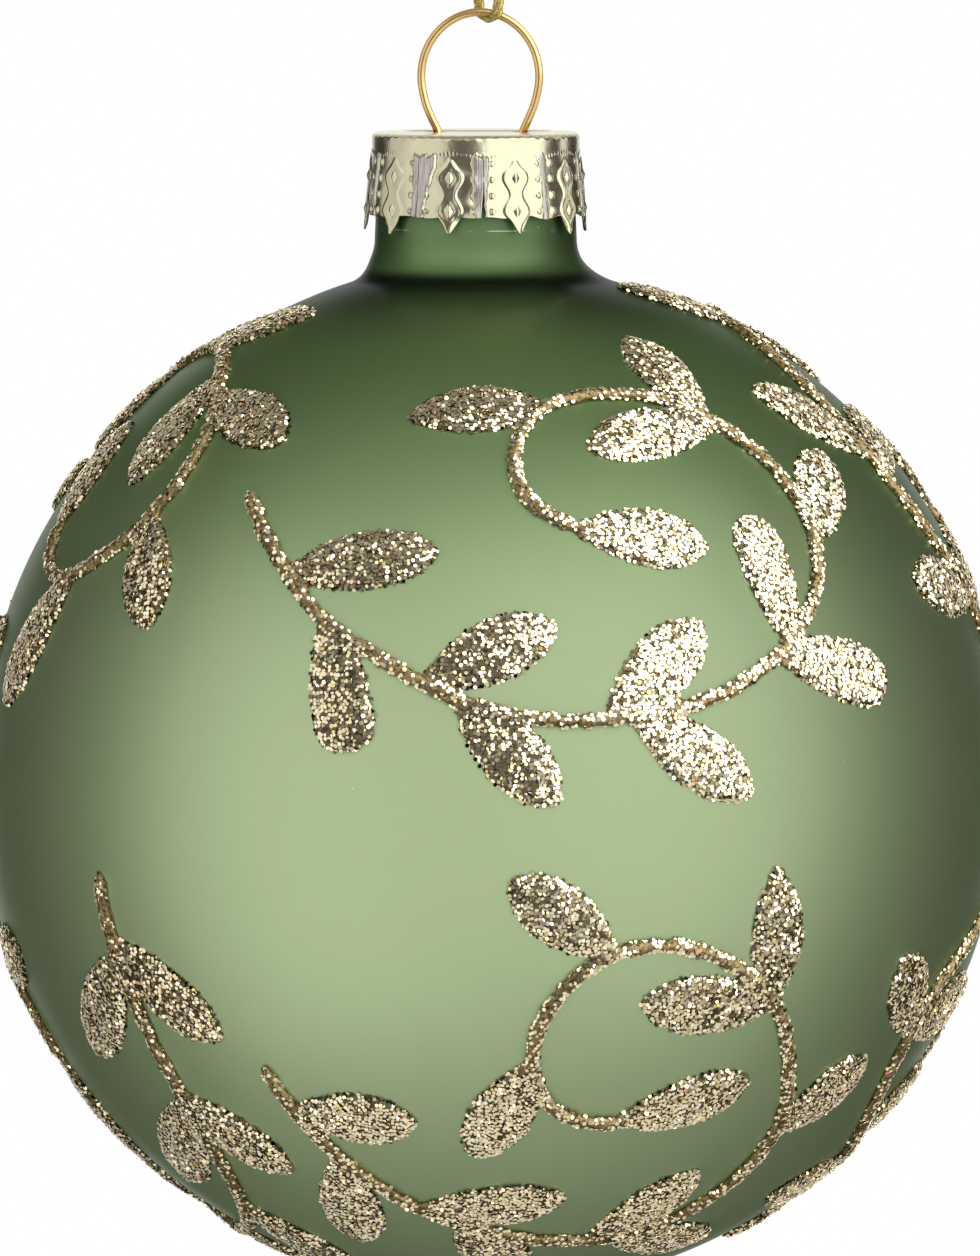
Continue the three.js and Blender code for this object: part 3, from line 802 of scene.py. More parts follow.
LOWER_RIGHT = {
    "stem": [
        (108, -56), (100, -53.5), (92, -50.5), (84, -47.3), (76, -43.4), (70, -38.6),
        (66.8, -33), (66.3, -27.8), (69, -22.5), (75, -17.6), (83, -14), (93, -12.2),
        (103, -14.5), (110, -20.5), (112.5, -28.5), (110, -36), (104, -40.5), (97.5, -39.5),
        (93.5, -35),
    ],
    "leaves": [
        (66.3, -28.5, 57, -18.6), (66.4, -28, 84.8, -23.2), (74, -42, 89, -34),
        (86, -48.2, 62.8, -52.8), (98, -52.5, 86, -63), (102, -54.2, 113, -45.5),
        (85, -13.6, 80, 0), (97, -12.8, 107, -1), (108, -18, 122, -12), (112.4, -26, 126, -30),
        (108.5, -37.5, 121, -45), (94, -36, 99.5, -23.5),
    ],
}

VINES = [
    ("vine_upper_front", UPPER_FRONT, 0),
    ("vine_upper_right", UPPER_RIGHT, 0),
    ("vine_upper_back", UPPER_FRONT, 180),
    ("vine_upper_left", UPPER_LEFT, 0),
    ("vine_lower_front", LOWER_FRONT, 0),
    ("vine_lower_right", LOWER_RIGHT, 0),
    ("vine_lower_back", LOWER_FRONT, 180),
    ("vine_lower_left", LOWER_LEFT, 0),
]


def direction(longitude, latitude):
    """The unit vector from the ball's middle towards a place on it."""
    turn = math.radians(longitude)
    climb = math.radians(latitude)
    level = math.cos(climb)
    return np.array((level * math.sin(turn), -level * math.cos(turn), math.sin(climb)))


def bead_rings(places, half_widths, rises, roundness, chance):
    """Rings round a bead of glue that lies on the ball along unit directions."""
    ahead = np.gradient(places, axis=0)
    turns = np.linspace(0, math.pi, 13)
    rings = []
    for at, onward, half, rise in zip(places, ahead, half_widths, rises):
        side = unit(np.cross(at, onward))
        across = np.concatenate([np.cos(turns), np.linspace(-0.8, 0.8, 5)]) * half
        left, right = chance.uniform(-RAGGED, RAGGED, 2)
        across += np.where(across > 0, left, right) * np.abs(across) / half
        up = np.concatenate([np.sin(turns) ** roundness * rise, np.full(5, -GLUE_SINK)])
        flat = unit_rows(at * BALL_RADIUS + np.outer(across, side))
        ring = flat * (BALL_RADIUS + up)[:, None]
        ring[:, 0] += [lean_at(z) - BALL_LEAN for z in ring[:, 2]]
        rings.append(ring + np.array(ball_centre))
    return rings


def leaf_share(t, blunt):
    """A leaf's half width along it, as a share: narrow at the stem, full, then pointed or blunt."""
    widest = 0.56 + 0.12 * blunt
    foot = 0.27 + 0.2 * blunt
    grow = foot + (1 - foot) * math.sin(math.pi / 2 * min(t / widest, 1.0)) ** 1.05
    fade = (1 - max((t - widest) / (1 - widest), 0.0) ** (2.2 + blunt)) ** (0.72 - 0.24 * blunt)
    return grow * max(fade, 0.08)


def vine_glue(name, design, turn, material, seed):
    """One vine's bed of glue, and its leaves' middle lines with their half widths."""
    chance = np.random.default_rng(seed)
    swung = [direction(longitude + turn, latitude) for longitude, latitude in design["stem"]]
    line = curve_through(np.array(swung) * BALL_RADIUS, STEM_STEP)
    places = unit_rows(line)
    count = len(places)
    ends = np.minimum(np.arange(count), np.arange(count)[::-1])
    taper = np.sqrt(np.clip((ends + 0.35) / 2.0, 0, 1))
    stem_rises = STEM_RISE * taper
    skins = [bead_rings(places, STEM_HALF_WIDTH * taper, stem_rises, STEM_ROUNDNESS, chance)]
    leaves = []
    for base_longitude, base_latitude, tip_longitude, tip_latitude, *form in design["leaves"]:
        blunt, fullness = form or (0, 1)
        wanted = direction(base_longitude + turn, base_latitude)
        base = places[np.argmin(np.linalg.norm(places - wanted, axis=1))]
        tip = direction(tip_longitude + turn, tip_latitude)
        shares = np.linspace(0, 1, LEAF_PLACES)
        along = unit_rows(base + np.outer(shares, tip - base))
        widths = np.array([leaf_share(t, blunt) for t in shares])
        rises = LEAF_RISE * np.sqrt(np.clip(widths * 1.1, 0.3, 1))
        half_widths = LEAF_HALF_WIDTH * fullness * widths
        skins.append(bead_rings(along, half_widths, rises, LEAF_ROUNDNESS, chance))
        leaves.append((along * BALL_RADIUS, half_widths))
    bed = add_piece(name, *join_skins(skins), material)
    remesh = bed.modifiers.new("one_body", "REMESH")
    remesh.mode = "VOXEL"
    remesh.voxel_size = GLUE_VOXEL
    remesh.use_smooth_shade = True
    smooth = bed.modifiers.new("soft_glue", "SMOOTH")
    smooth.iterations = 2
    smooth.factor = 0.4
    finished(bed)
    mark_stem(bed.data, places * BALL_RADIUS, leaves)
    return bed, leaves


def mark_stem(mesh, stem, leaves):
    """Writes how much each point belongs to the stem alone, from 0 to 1."""
    points = np.empty(len(mesh.vertices) * 3)
    mesh.vertices.foreach_get("co", points)
    points = points.reshape(-1, 3) - np.array(ball_centre)

    def share_within(line, half_widths):
        away = np.linalg.norm(points[:, None, :] - line[None, :, :], axis=2)
        return step(half_widths * 1.15 + 0.7 * mm - away, 0, 0.3 * mm).max(axis=1)

    share = share_within(stem, np.full(len(stem), STEM_HALF_WIDTH))
    for line, half_widths in leaves:
        share = share * (1 - share_within(line[6:], half_widths[6:] - 0.3 * mm))
    mark_points(mesh, "stem", share)


HEXAGON = np.radians(np.arange(6) * 60)
# A flake's faces, over the six corners of its back and then the six of its front
FLAKE_FACES = [
    (5, 4, 3, 2, 1, 0),
    (6, 7, 8, 9, 10, 11),
    *((j, (j + 1) % 6, (j + 1) % 6 + 6, j + 6) for j in range(6)),
]


def flake_corners(seat, facing, chance):
    """The twelve corners of a flake of chance size and spin."""
    first = unit(np.cross(facing, chance.uniform(-1, 1, 3)))
    second = np.cross(facing, first)
    radius = FLAKE_RADIUS * chance.uniform(0.85, 1.1)
    turned = np.outer(np.cos(HEXAGON), first) + np.outer(np.sin(HEXAGON), second)
    return [
        corner
        for lift in (-0.5, 0.5)
        for corner in seat + radius * turned + facing * FLAKE_THICKNESS * lift
    ]


def rim_flakes(leaves, chance):
    """Flakes that lie loose on the glass along the leaves' outlines, and each one's tone, dark as
    painted shade more often away from the light.
    """
    vertices, faces, tones = [], [], []
    for line, half_widths in leaves:
        run = run_along(line)
        for side in (-1, 1):
            start = run[3] + RIM_SPACING * chance.uniform()
            for at in np.arange(start, run[-1], RIM_SPACING):
                at += chance.uniform(-0.4, 0.4) * RIM_SPACING
                if at >= run[-1] - RIM_LOOK_AHEAD:
                    continue
                middle = places_at(at, run, line)
                ahead = places_at(at + RIM_LOOK_AHEAD, run, line)
                up = unit(middle)
                out = np.cross(middle, ahead - middle)
                out *= side / np.linalg.norm(out)
                reach = np.interp(at, run, half_widths) + RIM_REACH * chance.uniform(-1, 1)
                seat = middle + out * reach
                seat *= (BALL_RADIUS + chance.uniform(0.06, 0.2) * mm) / np.linalg.norm(seat)
                facing = up + out * chance.uniform(-0.1, 1.0) + chance.uniform(-0.2, 0.2, 3)
                seat[0] += lean_at(seat[2]) - BALL_LEAN
                base = len(vertices)
                seat += np.array(ball_centre)
                vertices.extend(flake_corners(seat, unit(facing), chance))
                faces.extend(tuple(base + j for j in face) for face in FLAKE_FACES)
                # Painted shade: loose flakes on the left and lower side, away from the light, take
                # the dark tone more often.
                painted_shade_chance = PAINTED_SHADE_SHARE if up[0] < 0.1 or up[2] < 0 else PAINTED_SHADE_SHARE / 4
                tones.append(0.0 if chance.uniform() < painted_shade_chance else chance.uniform(0.01, 1.0))
    return vertices, faces, tones


# What the scatter is given: the kind of each input, and its value where all vines share it
FLAKE_INPUTS = {
    "Geometry": ("Geometry", None),
    "Middle": ("Vector", tuple(ball_centre)),
    "Foot Radius": ("Float", BALL_RADIUS + 0.02 * mm),
    "Spacing": ("Float", 0.234 * mm),
    "Stem Share": ("Float", 0.6),
    "Flake Radius": ("Float", FLAKE_RADIUS),
    "Flake Thickness": ("Float", FLAKE_THICKNESS),
    "Tilt": ("Float", math.radians(11.5)),
    "Most Tilt": ("Float", math.radians(70)),
    "Seed": ("Int", None),
    "Finish": ("Material", None),
}


class Growth(Graph):
    """A geometry node tree under construction, from named inputs to the flakes."""

    def __init__(self, name, inputs):
        super().__init__(bpy.data.node_groups.new(name, "GeometryNodeTree"))
        self.inputs = {key: self.socket(key, kind, "INPUT") for key, (kind, _) in inputs.items()}
        self.socket("Flakes", "Geometry", "OUTPUT")
        given = self.node("NodeGroupInput", {}, {})
        self.given = {key: given.beside(key) for key in inputs}

    def socket(self, name, kind, side):
        kind = "NodeSocket" + kind
        return self.tree.interface.new_socket(name, in_out=side, socket_type=kind).identifier

    def geometry(self, kind, **values):
        """A geometry node without settings, from its sockets by name."""
        return self.node("GeometryNode" + kind, {}, values)

    def chance(self, low, high, seed):
        """A number drawn for each flake. Each draw has a seed of its own."""
        values = {2: low, 3: high, "Seed": seed}
        return self.node("FunctionNodeRandomValue", {"data_type": "FLOAT"}, values, 1)

    def upwards(self, amount):
        """A vector along Z."""
        return self.node("ShaderNodeCombineXYZ", {}, {"Z": amount})


def flake_tree():
    """Scatters tilted hexagonal flakes over the back of a bed of glue."""
    growth = Growth("glitter_scatter", FLAKE_INPUTS)
    given = growth.given
    out = growth.vector("SUBTRACT", [growth.geometry("InputPosition"), given["Middle"]])
    over = growth.node(
        "FunctionNodeCompare",
        {"data_type": "FLOAT", "operation": "GREATER_THAN"},
        [growth.vector("LENGTH", [out], "Value"), given["Foot Radius"]],
    )
    on_stem = growth.node(
        "GeometryNodeInputNamedAttribute", {"data_type": "FLOAT"}, {"Name": "stem"}, "Attribute"
    )
    points = growth.node(
        "GeometryNodeDistributePointsOnFaces",
        {"distribute_method": "POISSON"},
        {
            "Mesh": given["Geometry"],
            "Selection": over,
            "Distance Min": given["Spacing"],
            "Density Max": DENSEST,
            "Density Factor": on_stem.spread(1.0, given["Stem Share"]),
            "Seed": given["Seed"],
        },
        "Points",
    )
    flake = growth.node(
        "GeometryNodeMeshCylinder",
        {"fill_type": "NGON"},
        {"Vertices": 6, "Radius": given["Flake Radius"], "Depth": given["Flake Thickness"]},
    )
    outward = growth.vector("SCALE", {0: growth.vector("NORMALIZE", [out]), "Scale": OUTWARD})
    facing = growth.vector("ADD", [points.beside("Normal"), outward])
    turned = growth.node("FunctionNodeAlignRotationToVector", {"axis": "Z"}, {"Vector": facing})
    size = growth.chance(0.8, 1.15, 5)
    placed = growth.geometry(
        "InstanceOnPoints", Points=points, Instance=flake, Rotation=turned, Scale=size
    )
    spin = growth.upwards(growth.chance(0.0, 2 * math.pi, 7))
    spun = growth.geometry("RotateInstances", Instances=placed, Rotation=spin)
    way = growth.node(
        "FunctionNodeRandomValue",
        {"data_type": "FLOAT_VECTOR"},
        {0: (-1, -1, 0), 1: (1, 1, 0), "Seed": 11},
    )
    rare = growth.chance(0.0, 1.0, 13) ** TILT_RARITY
    amount = rare.spread(given["Tilt"], given["Most Tilt"])
    lean = growth.vector("SCALE", {0: way, "Scale": amount})
    tilted = growth.geometry("RotateInstances", Instances=spun, Rotation=lean)
    lift = growth.upwards(growth.chance(0.0, FLAKE_STACK, 19))
    stacked = growth.geometry("TranslateInstances", Instances=tilted, Translation=lift)
    toned = growth.node(
        "GeometryNodeStoreNamedAttribute",
        {"data_type": "FLOAT", "domain": "INSTANCE"},
        {"Geometry": stacked, "Name": "tone", "Value": growth.chance(0.0, 1.0, 17)},
    )
    real = growth.geometry("RealizeInstances", Geometry=toned)
    made = growth.geometry("SetMaterial", Geometry=real, Material=given["Finish"])
    growth.node("NodeGroupOutput", {}, {"Flakes": made})
    return growth


def add_flakes(bed, leaves, name, scatter, finish, seed):
    """A coat of flakes as a piece of its own, on the bed's outer side and along its outline."""
    coat = add_object(name, bed.data.copy())
    grow = coat.modifiers.new("glitter", "NODES")
    grow.node_group = scatter.tree
    own = {"Seed": seed, "Finish": finish}
    for key, (_, shared) in FLAKE_INPUTS.items():
        if key != "Geometry":
            grow[scatter.inputs[key]] = own.get(key, shared)
    finished(coat)
    vertices, faces, tones = rim_flakes(leaves, np.random.default_rng(seed))
    loose = bpy.data.meshes.new("loose_flakes")
    loose.from_pydata([tuple(v) for v in vertices], [], faces)
    mark_points(loose, "tone", np.repeat(tones, 12))
    body = bmesh.new()
    body.from_mesh(coat.data)
    body.from_mesh(loose)
    body.to_mesh(coat.data)
    body.free()
    bpy.data.meshes.remove(loose)
    coat.data.materials.clear()
    coat.data.materials.append(finish)
    return coat


glue_finish = glue()
flake_finish = flakes()
scatter = flake_tree()
glitter = []
for number, (node, design, turn) in enumerate(VINES):
    bed, leaves = vine_glue(node + "_glue", design, turn, glue_finish, number + 1)
    coat = add_flakes(bed, leaves, node + "_flakes", scatter, flake_finish, number + 1)
    glitter.append((node, bed, coat))


# Wire hanger

WIRE_RADIUS = 0.32 * mm
WIRE_STEP = 0.2 * mm
WIRE_SIDES = 32
HOLE_ASIDE = 3.3 * mm  # from the neck's axis to each hole of the cap
EYE_SHIFT = 0.35 * mm  # how far the eye stands to the right
EYE_HALF_WIDTH = 4.6 * mm
EYE_HALF_HEIGHT = 5.0 * mm
EYE_RISE = 4.35 * mm  # of the eye's middle over the cap
EYE_FOOT = [(4.278, -2.001), (3.772, -3.306)]  # in mm from the eye's middle
LEG_GAP = 0.3 * mm  # between the leg and the bore
UNDER_CAP = 0.22 * mm
# The leg below the cap, in mm: how far it stands in from the bore's side, and how deep it is
LEG = [(0.2, 6.5), (0, 9.15), (0, 11.8), (0.35, 13.2)]


def hanger_points():
    """The wire's middle line from the tip of one leg over the eye to the other."""
    bore_reach = BORE_RADIUS - LEG_GAP - WIRE_RADIUS
    under = cap_top - UNDER_CAP
    eye_z = cap_top + EYE_RISE
    above = [
        (EYE_HALF_WIDTH * math.cos(a), eye_z + EYE_HALF_HEIGHT * math.sin(a))
        for a in np.radians((67.5, 45, 22.5, 0))
    ]
    above += [(x * mm, eye_z + z * mm) for x, z in EYE_FOOT]
    above.append((HOLE_ASIDE, cap_top))
    below = [(HOLE_ASIDE - 0.35 * mm, under - 1.2 * mm)]
    below += [(bore_reach - inset * mm, under - depth * mm) for inset, depth in LEG]
    left, right = (
        [(neck_x + side * x + EYE_SHIFT, 0, z) for x, z in above]
        + [(neck_x + side * x, 0, z) for x, z in below]
        for side in (-1, 1)
    )
    return [*reversed(left), (neck_x + EYE_SHIFT, 0, eye_z + EYE_HALF_HEIGHT), *right]


hanger_line = curve_through(hanger_points(), WIRE_STEP)
wire_rings = tube_rings(hanger_line, WIRE_RADIUS, WIRE_SIDES)
hanger = add_piece("gold_wire_hanger", *skin(wire_rings), gold_wire())


# Crown cap, stamped from thin foil

CAP_RADIUS = 8.1 * mm
CAP_SHEET = 0.16 * mm
CAP_EDGE_ROUND = 0.5 * mm
CAP_BAND = 1.6 * mm
SKIRT_DEPTH = 6.4 * mm
SKIRT_FLARE = 0.5 * mm
PETALS = 10
PETAL_TURN = 22
CRUMPLED_PETAL = 9
POINT_LENGTH = 1.6 * mm
POINT_HALF_WIDTH = 0.85 * mm
SLIT_TOP = 4.1 * mm
PETAL_COLUMNS = 60
PETAL_ROWS = 64
HOLE_RADIUS = 0.8 * mm
HOLE_SIDES = 24
RIM = PETALS * PETAL_COLUMNS  # points round the top edge
RIM_STEPS = 5
RIM_RIPPLE = 0.018 * mm
RIM_RIPPLES = 52
EDGE_WANDER = 0.22 * mm  # how unevenly the skirt's edge is cut
HOLE_SHIFT = 0.2 * mm
DENT = 0.02 * mm
PETAL_DENT = 0.06 * mm
CREASE_RISE = 0.24 * mm
MERGE_WITHIN = 0.004 * mm
PETAL_SEED = 7
DENT_SEED = 3
TORN_SEED = 5
CREASE_SEED = 11
DOT_RISE = 0.15 * mm
DOT_DEPTHS = (2.19 * mm, 3.42 * mm, 4.68 * mm, 5.92 * mm)
DOT_ASIDE = 1.87 * mm
DOT_RADIUS = 0.24 * mm
DIAMOND_DEPTHS = (3.32 * mm, 5.89 * mm)
DIAMOND_PITCH = 2.57 * mm
DIAMOND_RISE = 0.17 * mm
DIAMOND_MOAT = 0.05 * mm  # how deep the dip round a diamond lies
FIGURE_RISE = 0.08 * mm  # of the long figure that holds the two diamonds, and of its edge again
BEAD_DEPTH = 1.42 * mm
BEAD_SPACING = 0.3 * mm
BEAD_RISE = 0.05 * mm
# The fold after each petal: where it starts and ends, in degrees from the petals' border,
# how far it stands out, and how far the slit in it gapes, both in mm.
FOLDS = [
    (-3.0, 0.6, 0.14, 0.05),
    (-1.6, 1.4, 0.12, 0.1),
    (-4.0, 3.0, 0.2, 0.05),
    (-2.0, 2.4, 0.14, 0.12),
    (-6.0, 2.2, 0.2, 0.04),
    (-1.6, 3.2, 0.15, 0.1),
    (-4.4, 4.2, 0.2, 0.05),
    (-1.4, 1.8, 0.14, 0.12),
    (-4.0, 9.6, 0.24, 0.03),
    (-5.6, 3.2, 0.24, 0.14),
]


def ridge(distance, width):
    """1 on a line, and falling off to both sides of it."""
    return np.exp(-((distance / width) ** 2))


def stamped(across, depth):
    """How far the stamping stands out of a petal, at distances across it and down from the top."""
    rise = np.zeros_like(across)
    for dot_depth in DOT_DEPTHS:
        for side in (-1, 1):
            away = np.hypot(across - side * DOT_ASIDE, depth - dot_depth) / DOT_RADIUS
            rise += DOT_RISE * np.sqrt(np.clip(1 - away**2, 0, 1))
    wave = np.cos(2 * math.pi * (depth - DIAMOND_DEPTHS[0]) / DIAMOND_PITCH)
    foot = 1 - step(depth, 5.9 * mm, 7.9 * mm) * 0.8
    wide = (0.7 * mm + 0.25 * mm * wave) * step(depth, 1.55 * mm, 3.0 * mm) * foot
    inside = np.abs(across) - wide
    shown = step(depth, 1.7 * mm, 2.1 * mm)
    rise += FIGURE_RISE * shown * (1 - step(inside, -0.12 * mm, 0.05 * mm))
    rise += FIGURE_RISE * shown * ridge(inside, 0.09 * mm)
    for diamond_depth in DIAMOND_DEPTHS:
        away = np.abs(across) / (0.32 * mm) + np.abs(depth - diamond_depth) / (0.54 * mm)
        rise += DIAMOND_RISE * np.clip(1 - away, 0, 1)
        rise -= DIAMOND_MOAT * ridge(away - 1.2, 0.2)
    arc_depth = BEAD_DEPTH + 0.22 * mm * (across / (1.6 * mm)) ** 2
    beads = 0.5 + 0.5 * np.cos(2 * math.pi * across / BEAD_SPACING)
    rise += BEAD_RISE * beads * ridge(depth - arc_depth, 0.1 * mm)
    return rise


def folded(turn, depth, petal):
    """Where the flattened folds at both sides of a petal stand out, from 0 to 1, and how far."""
    lower = step(depth, CAP_BAND, SKIRT_DEPTH)
    share = np.zeros_like(turn)
    rise = np.zeros_like(turn)
    for after in (petal - 1, petal):
        start, end, height, _ = FOLDS[after % PETALS]
        border = PETAL_TURN + (after + 0.5) * 360 / PETALS
        away = np.degrees(turn) - border
        waver = 0.5 * np.sin(depth / (0.55 * mm) + 2.4 * after) * lower
        waver += 0.3 * np.sin(depth / (0.19 * mm) + 1.3 * after)
        start = start * (1 - 0.25 * lower) + waver
        end = end * (1 - 0.68 * lower) - waver
        on = step(away, start - 0.4, start + 0.4) * (1 - step(away, end - 0.4, end + 0.4))
        top = 1.6 * mm + 0.1 * mm * np.sin(away * 1.1 + after)
        top = top + 0.07 * mm * np.sin(away * 2.7 + 1.7 * after)
        on = on * step(depth, top - 0.1 * mm, top + 0.12 * mm)
        share = np.maximum(share, on)
        rise = np.maximum(rise, on * (height * mm) * (1 - 0.12 * np.cos(away * 4.5)))
    return share, rise


def crumple(turn, depth, seed):
    """Slow dents that differ from petal to petal."""
    rise = np.zeros_like(turn)
    chance = np.random.default_rng(seed)
    for _ in range(6):
        waves = round(chance.uniform(4, 19))
        tall = chance.uniform(-2.2, 2.2) / (2 * mm)
        start = chance.uniform(0, 2 * math.pi)
        rise += np.sin(waves * turn + tall * depth + start)
    return rise / 6


def petal_rows(petal, chance):
    """A petal's points from its top down: each row's angles, radii, depths and wear."""
    half = math.pi / PETALS
    middle = math.radians(PETAL_TURN) + petal * 2 * half
    dented = 2.8 if petal == CRUMPLED_PETAL else 1.2
    bend = chance.uniform(-0.1, 0.2) * mm
    aside = chance.uniform(-0.25, 0.25) * mm
    length = POINT_LENGTH * chance.uniform(0.86, 1.04)
    columns = np.linspace(-1, 1, PETAL_COLUMNS + 1)
    turn = middle + columns * half
    across = columns * half * CAP_RADIUS
    gape = np.where(columns < 0, FOLDS[petal - 1][3], FOLDS[petal][3]) * mm
    border = half * CAP_RADIUS - np.abs(across)
    bent = step(columns, -0.1, 0.25) * (1 - step(columns, 0.72, 0.98))
    point = np.clip(1 - np.abs(across - aside) / POINT_HALF_WIDTH, 0, 1) ** 1.15
    point = point * (1 - 0.12 * point**6)
    torn = EDGE_WANDER * crumple(turn, np.zeros_like(turn), TORN_SEED)
    bottom = SKIRT_DEPTH + length * point + torn
    for row in range(PETAL_ROWS + 1):
        depth = CAP_EDGE_ROUND + (bottom - CAP_EDGE_ROUND) * (row / PETAL_ROWS)
        down = (depth - CAP_BAND) / (SKIRT_DEPTH - CAP_BAND)
        worn, fold = folded(turn, depth, petal)
        out = CAP_RADIUS + SKIRT_FLARE * np.clip(down, 0, 1.4)
        out = out + stamped(across, depth) * (1 - worn) + fold
        dents = crumple(turn, depth, DENT_SEED)
        out = out + DENT * dents
        out = out + dented * PETAL_DENT * dents * step(depth, 1.2 * mm, 3.4 * mm)
        if petal == CRUMPLED_PETAL:
            creases = crumple(1.2 * turn, 3.4 * depth, CREASE_SEED)
            creases = creases * step(depth, 1.2 * mm, 2.4 * mm)
            out = out + CREASE_RISE * creases * bent
        out = out + bend * step(depth, SLIT_TOP, 8 * mm)
        pull = gape * step(depth, SLIT_TOP, SKIRT_DEPTH) * (1 - step(border, 0, 0.9 * mm))
        yield turn - pull * np.sign(columns) / CAP_RADIUS, out, depth, worn


def round_the_neck(angle, radius, z):
    """The point at an angle and a radius round the neck's axis."""
    return neck_x + radius * math.sin(angle), -radius * math.cos(angle), z


def cap_side():
    """The side of the cap as one grid for each petal, with how worn each point is."""
    vertices, faces, folds = [], [], []
    chance = np.random.default_rng(PETAL_SEED)
    wide = PETAL_COLUMNS + 1
    for petal in range(PETALS):
        start = len(vertices)
        for angles, radii, depths, worn in petal_rows(petal, chance):
            for a, r, d in zip(angles, radii, depths):
                vertices.append(round_the_neck(a, r, cap_top - d))
            folds.extend(worn)
        for row in range(PETAL_ROWS):
            for column in range(PETAL_COLUMNS):
                a = start + row * wide + column
                faces.append((a, a + 1, a + 1 + wide, a + wide))
    return vertices, faces, folds


def add_rolled_edge(vertices, faces):
    """Rolls the cap's top edge over, and gives the first point of the edge's last ring."""
    turns = math.radians(PETAL_TURN) - math.pi / PETALS + np.arange(RIM) * 2 * math.pi / RIM
    ripple = RIM_RIPPLE * np.cos(RIM_RIPPLES * turns)
    dents = DENT * crumple(turns, np.full(RIM, CAP_EDGE_ROUND), DENT_SEED)
    first = len(vertices)
    for k in range(RIM_STEPS + 1):
        lift = math.radians(90 * k / RIM_STEPS)
        bumped = CAP_EDGE_ROUND + ripple * math.sin(2 * lift)
        radii = CAP_RADIUS - CAP_EDGE_ROUND + (bumped + dents) * math.cos(lift)
        heights = cap_top - CAP_EDGE_ROUND + bumped * math.sin(lift)
        vertices.extend(round_the_neck(*place) for place in zip(turns, radii, heights))
    for low in range(first, first + RIM * RIM_STEPS, RIM):
        for j in range(RIM):
            after = (j + 1) % RIM
            faces.append((low + j, low + after, low + RIM + after, low + RIM + j))
    return first + RIM * RIM_STEPS


def add_cap():
    """The cap's side, rolled edge and top with its two holes, as one sheet of foil."""
    vertices, faces, folds = cap_side()
    last_ring = add_rolled_edge(vertices, faces)
    folds.extend([0.0] * (len(vertices) - len(folds)))
    mesh = bpy.data.meshes.new("stamped_crown_cap")
    mesh.from_pydata(vertices, [], faces)
    mark_points(mesh, "fold", folds)
    body = bmesh.new()
    body.from_mesh(mesh)
    body.verts.ensure_lookup_table()
    outer = [body.verts[last_ring + j] for j in range(RIM)]
    edges = [body.edges.get(pair) for pair in zip(outer, outer[1:] + outer[:1])]
    for side in (-1, 1):
        hole_x = neck_x + side * HOLE_ASIDE + HOLE_SHIFT
        hole = [
            body.verts.new(
                (hole_x + HOLE_RADIUS * math.cos(a), HOLE_RADIUS * math.sin(a), cap_top)
            )
            for a in whole_turn(HOLE_SIDES)
        ]
        edges.extend(body.edges.new(pair) for pair in zip(hole, hole[1:] + hole[:1]))
    bmesh.ops.triangle_fill(body, use_beauty=True, edges=edges)
    bmesh.ops.remove_doubles(body, verts=body.verts, dist=MERGE_WITHIN)
    bmesh.ops.recalc_face_normals(body, faces=body.faces)
    top = max(body.faces, key=lambda face: face.calc_center_median().z)
    if top.normal.z < 0:
        bmesh.ops.reverse_faces(body, faces=body.faces)
    body.to_mesh(mesh)
    body.free()
    mesh.polygons.foreach_set("use_smooth", [True] * len(mesh.polygons))
    mesh.materials.append(cap_foil())
    cap = add_object("stamped_crown_cap", mesh)
    wall = cap.modifiers.new("sheet", "SOLIDIFY")
    wall.thickness = CAP_SHEET
    wall.offset = -1
    return finished(cap)


cap = add_cap()


# Studio: white behind the bauble, softboxes that each light chosen pieces, and a pale floor

FLOOR_DROP = 1.3
FLOOR_RADIUS = 5.0
FLOOR_CORNERS = 64
FLOOR_WHITE = 0.85  # how much of the floor that the camera sees is plain white
AMBIENT = 0.03


def add_floor():
    """A pale floor well below the bauble, which shows white and keeps a faint shadow."""
    finish = Finish("pale_floor")
    seen = finish.node("ShaderNodeLightPath", {}, {}, "Is Camera Ray")
    lit = finish.node("ShaderNodeBsdfDiffuse", {}, {"Color": (0.8, 0.8, 0.8, 1)})
    white = finish.node("ShaderNodeEmission", {}, {"Color": (1, 1, 1, 1), "Strength": 1.0})
    both = finish.node("ShaderNodeMixShader", {}, [seen * FLOOR_WHITE, lit, white])
    finish.node("ShaderNodeOutputMaterial", {}, {"Surface": both})
    z = ball_low.z - FLOOR_DROP
    corners = [
        (FLOOR_RADIUS * math.cos(a), FLOOR_RADIUS * math.sin(a), z)
        for a in whole_turn(FLOOR_CORNERS)
    ]
    face = tuple(range(FLOOR_CORNERS))
    floor = add_piece("pale_floor", corners, [face], finish.material, False)
    return floor


floor = add_floor()


def add_softbox(name, longitude, latitude, width, height, radiance, lit):
    """A softbox a metre from the ball that lights only the pieces in lit."""
    way = Vector(direction(longitude, latitude))
    data = bpy.data.lights.new(name, "AREA")
    data.shape = "RECTANGLE"
    data.size = width
    data.size_y = height
    data.energy = radiance * math.pi * width * height
    box = add_object(name, data)
    box.location = ball_centre + way
    box.rotation_euler = (-way).to_track_quat("-Z", "Y").to_euler()
    box.visible_camera = False
    chosen = bpy.data.collections.new(name + "_pieces")
    for piece in lit:
        chosen.objects.link(piece)
    box.light_linking.receiver_collection = chosen


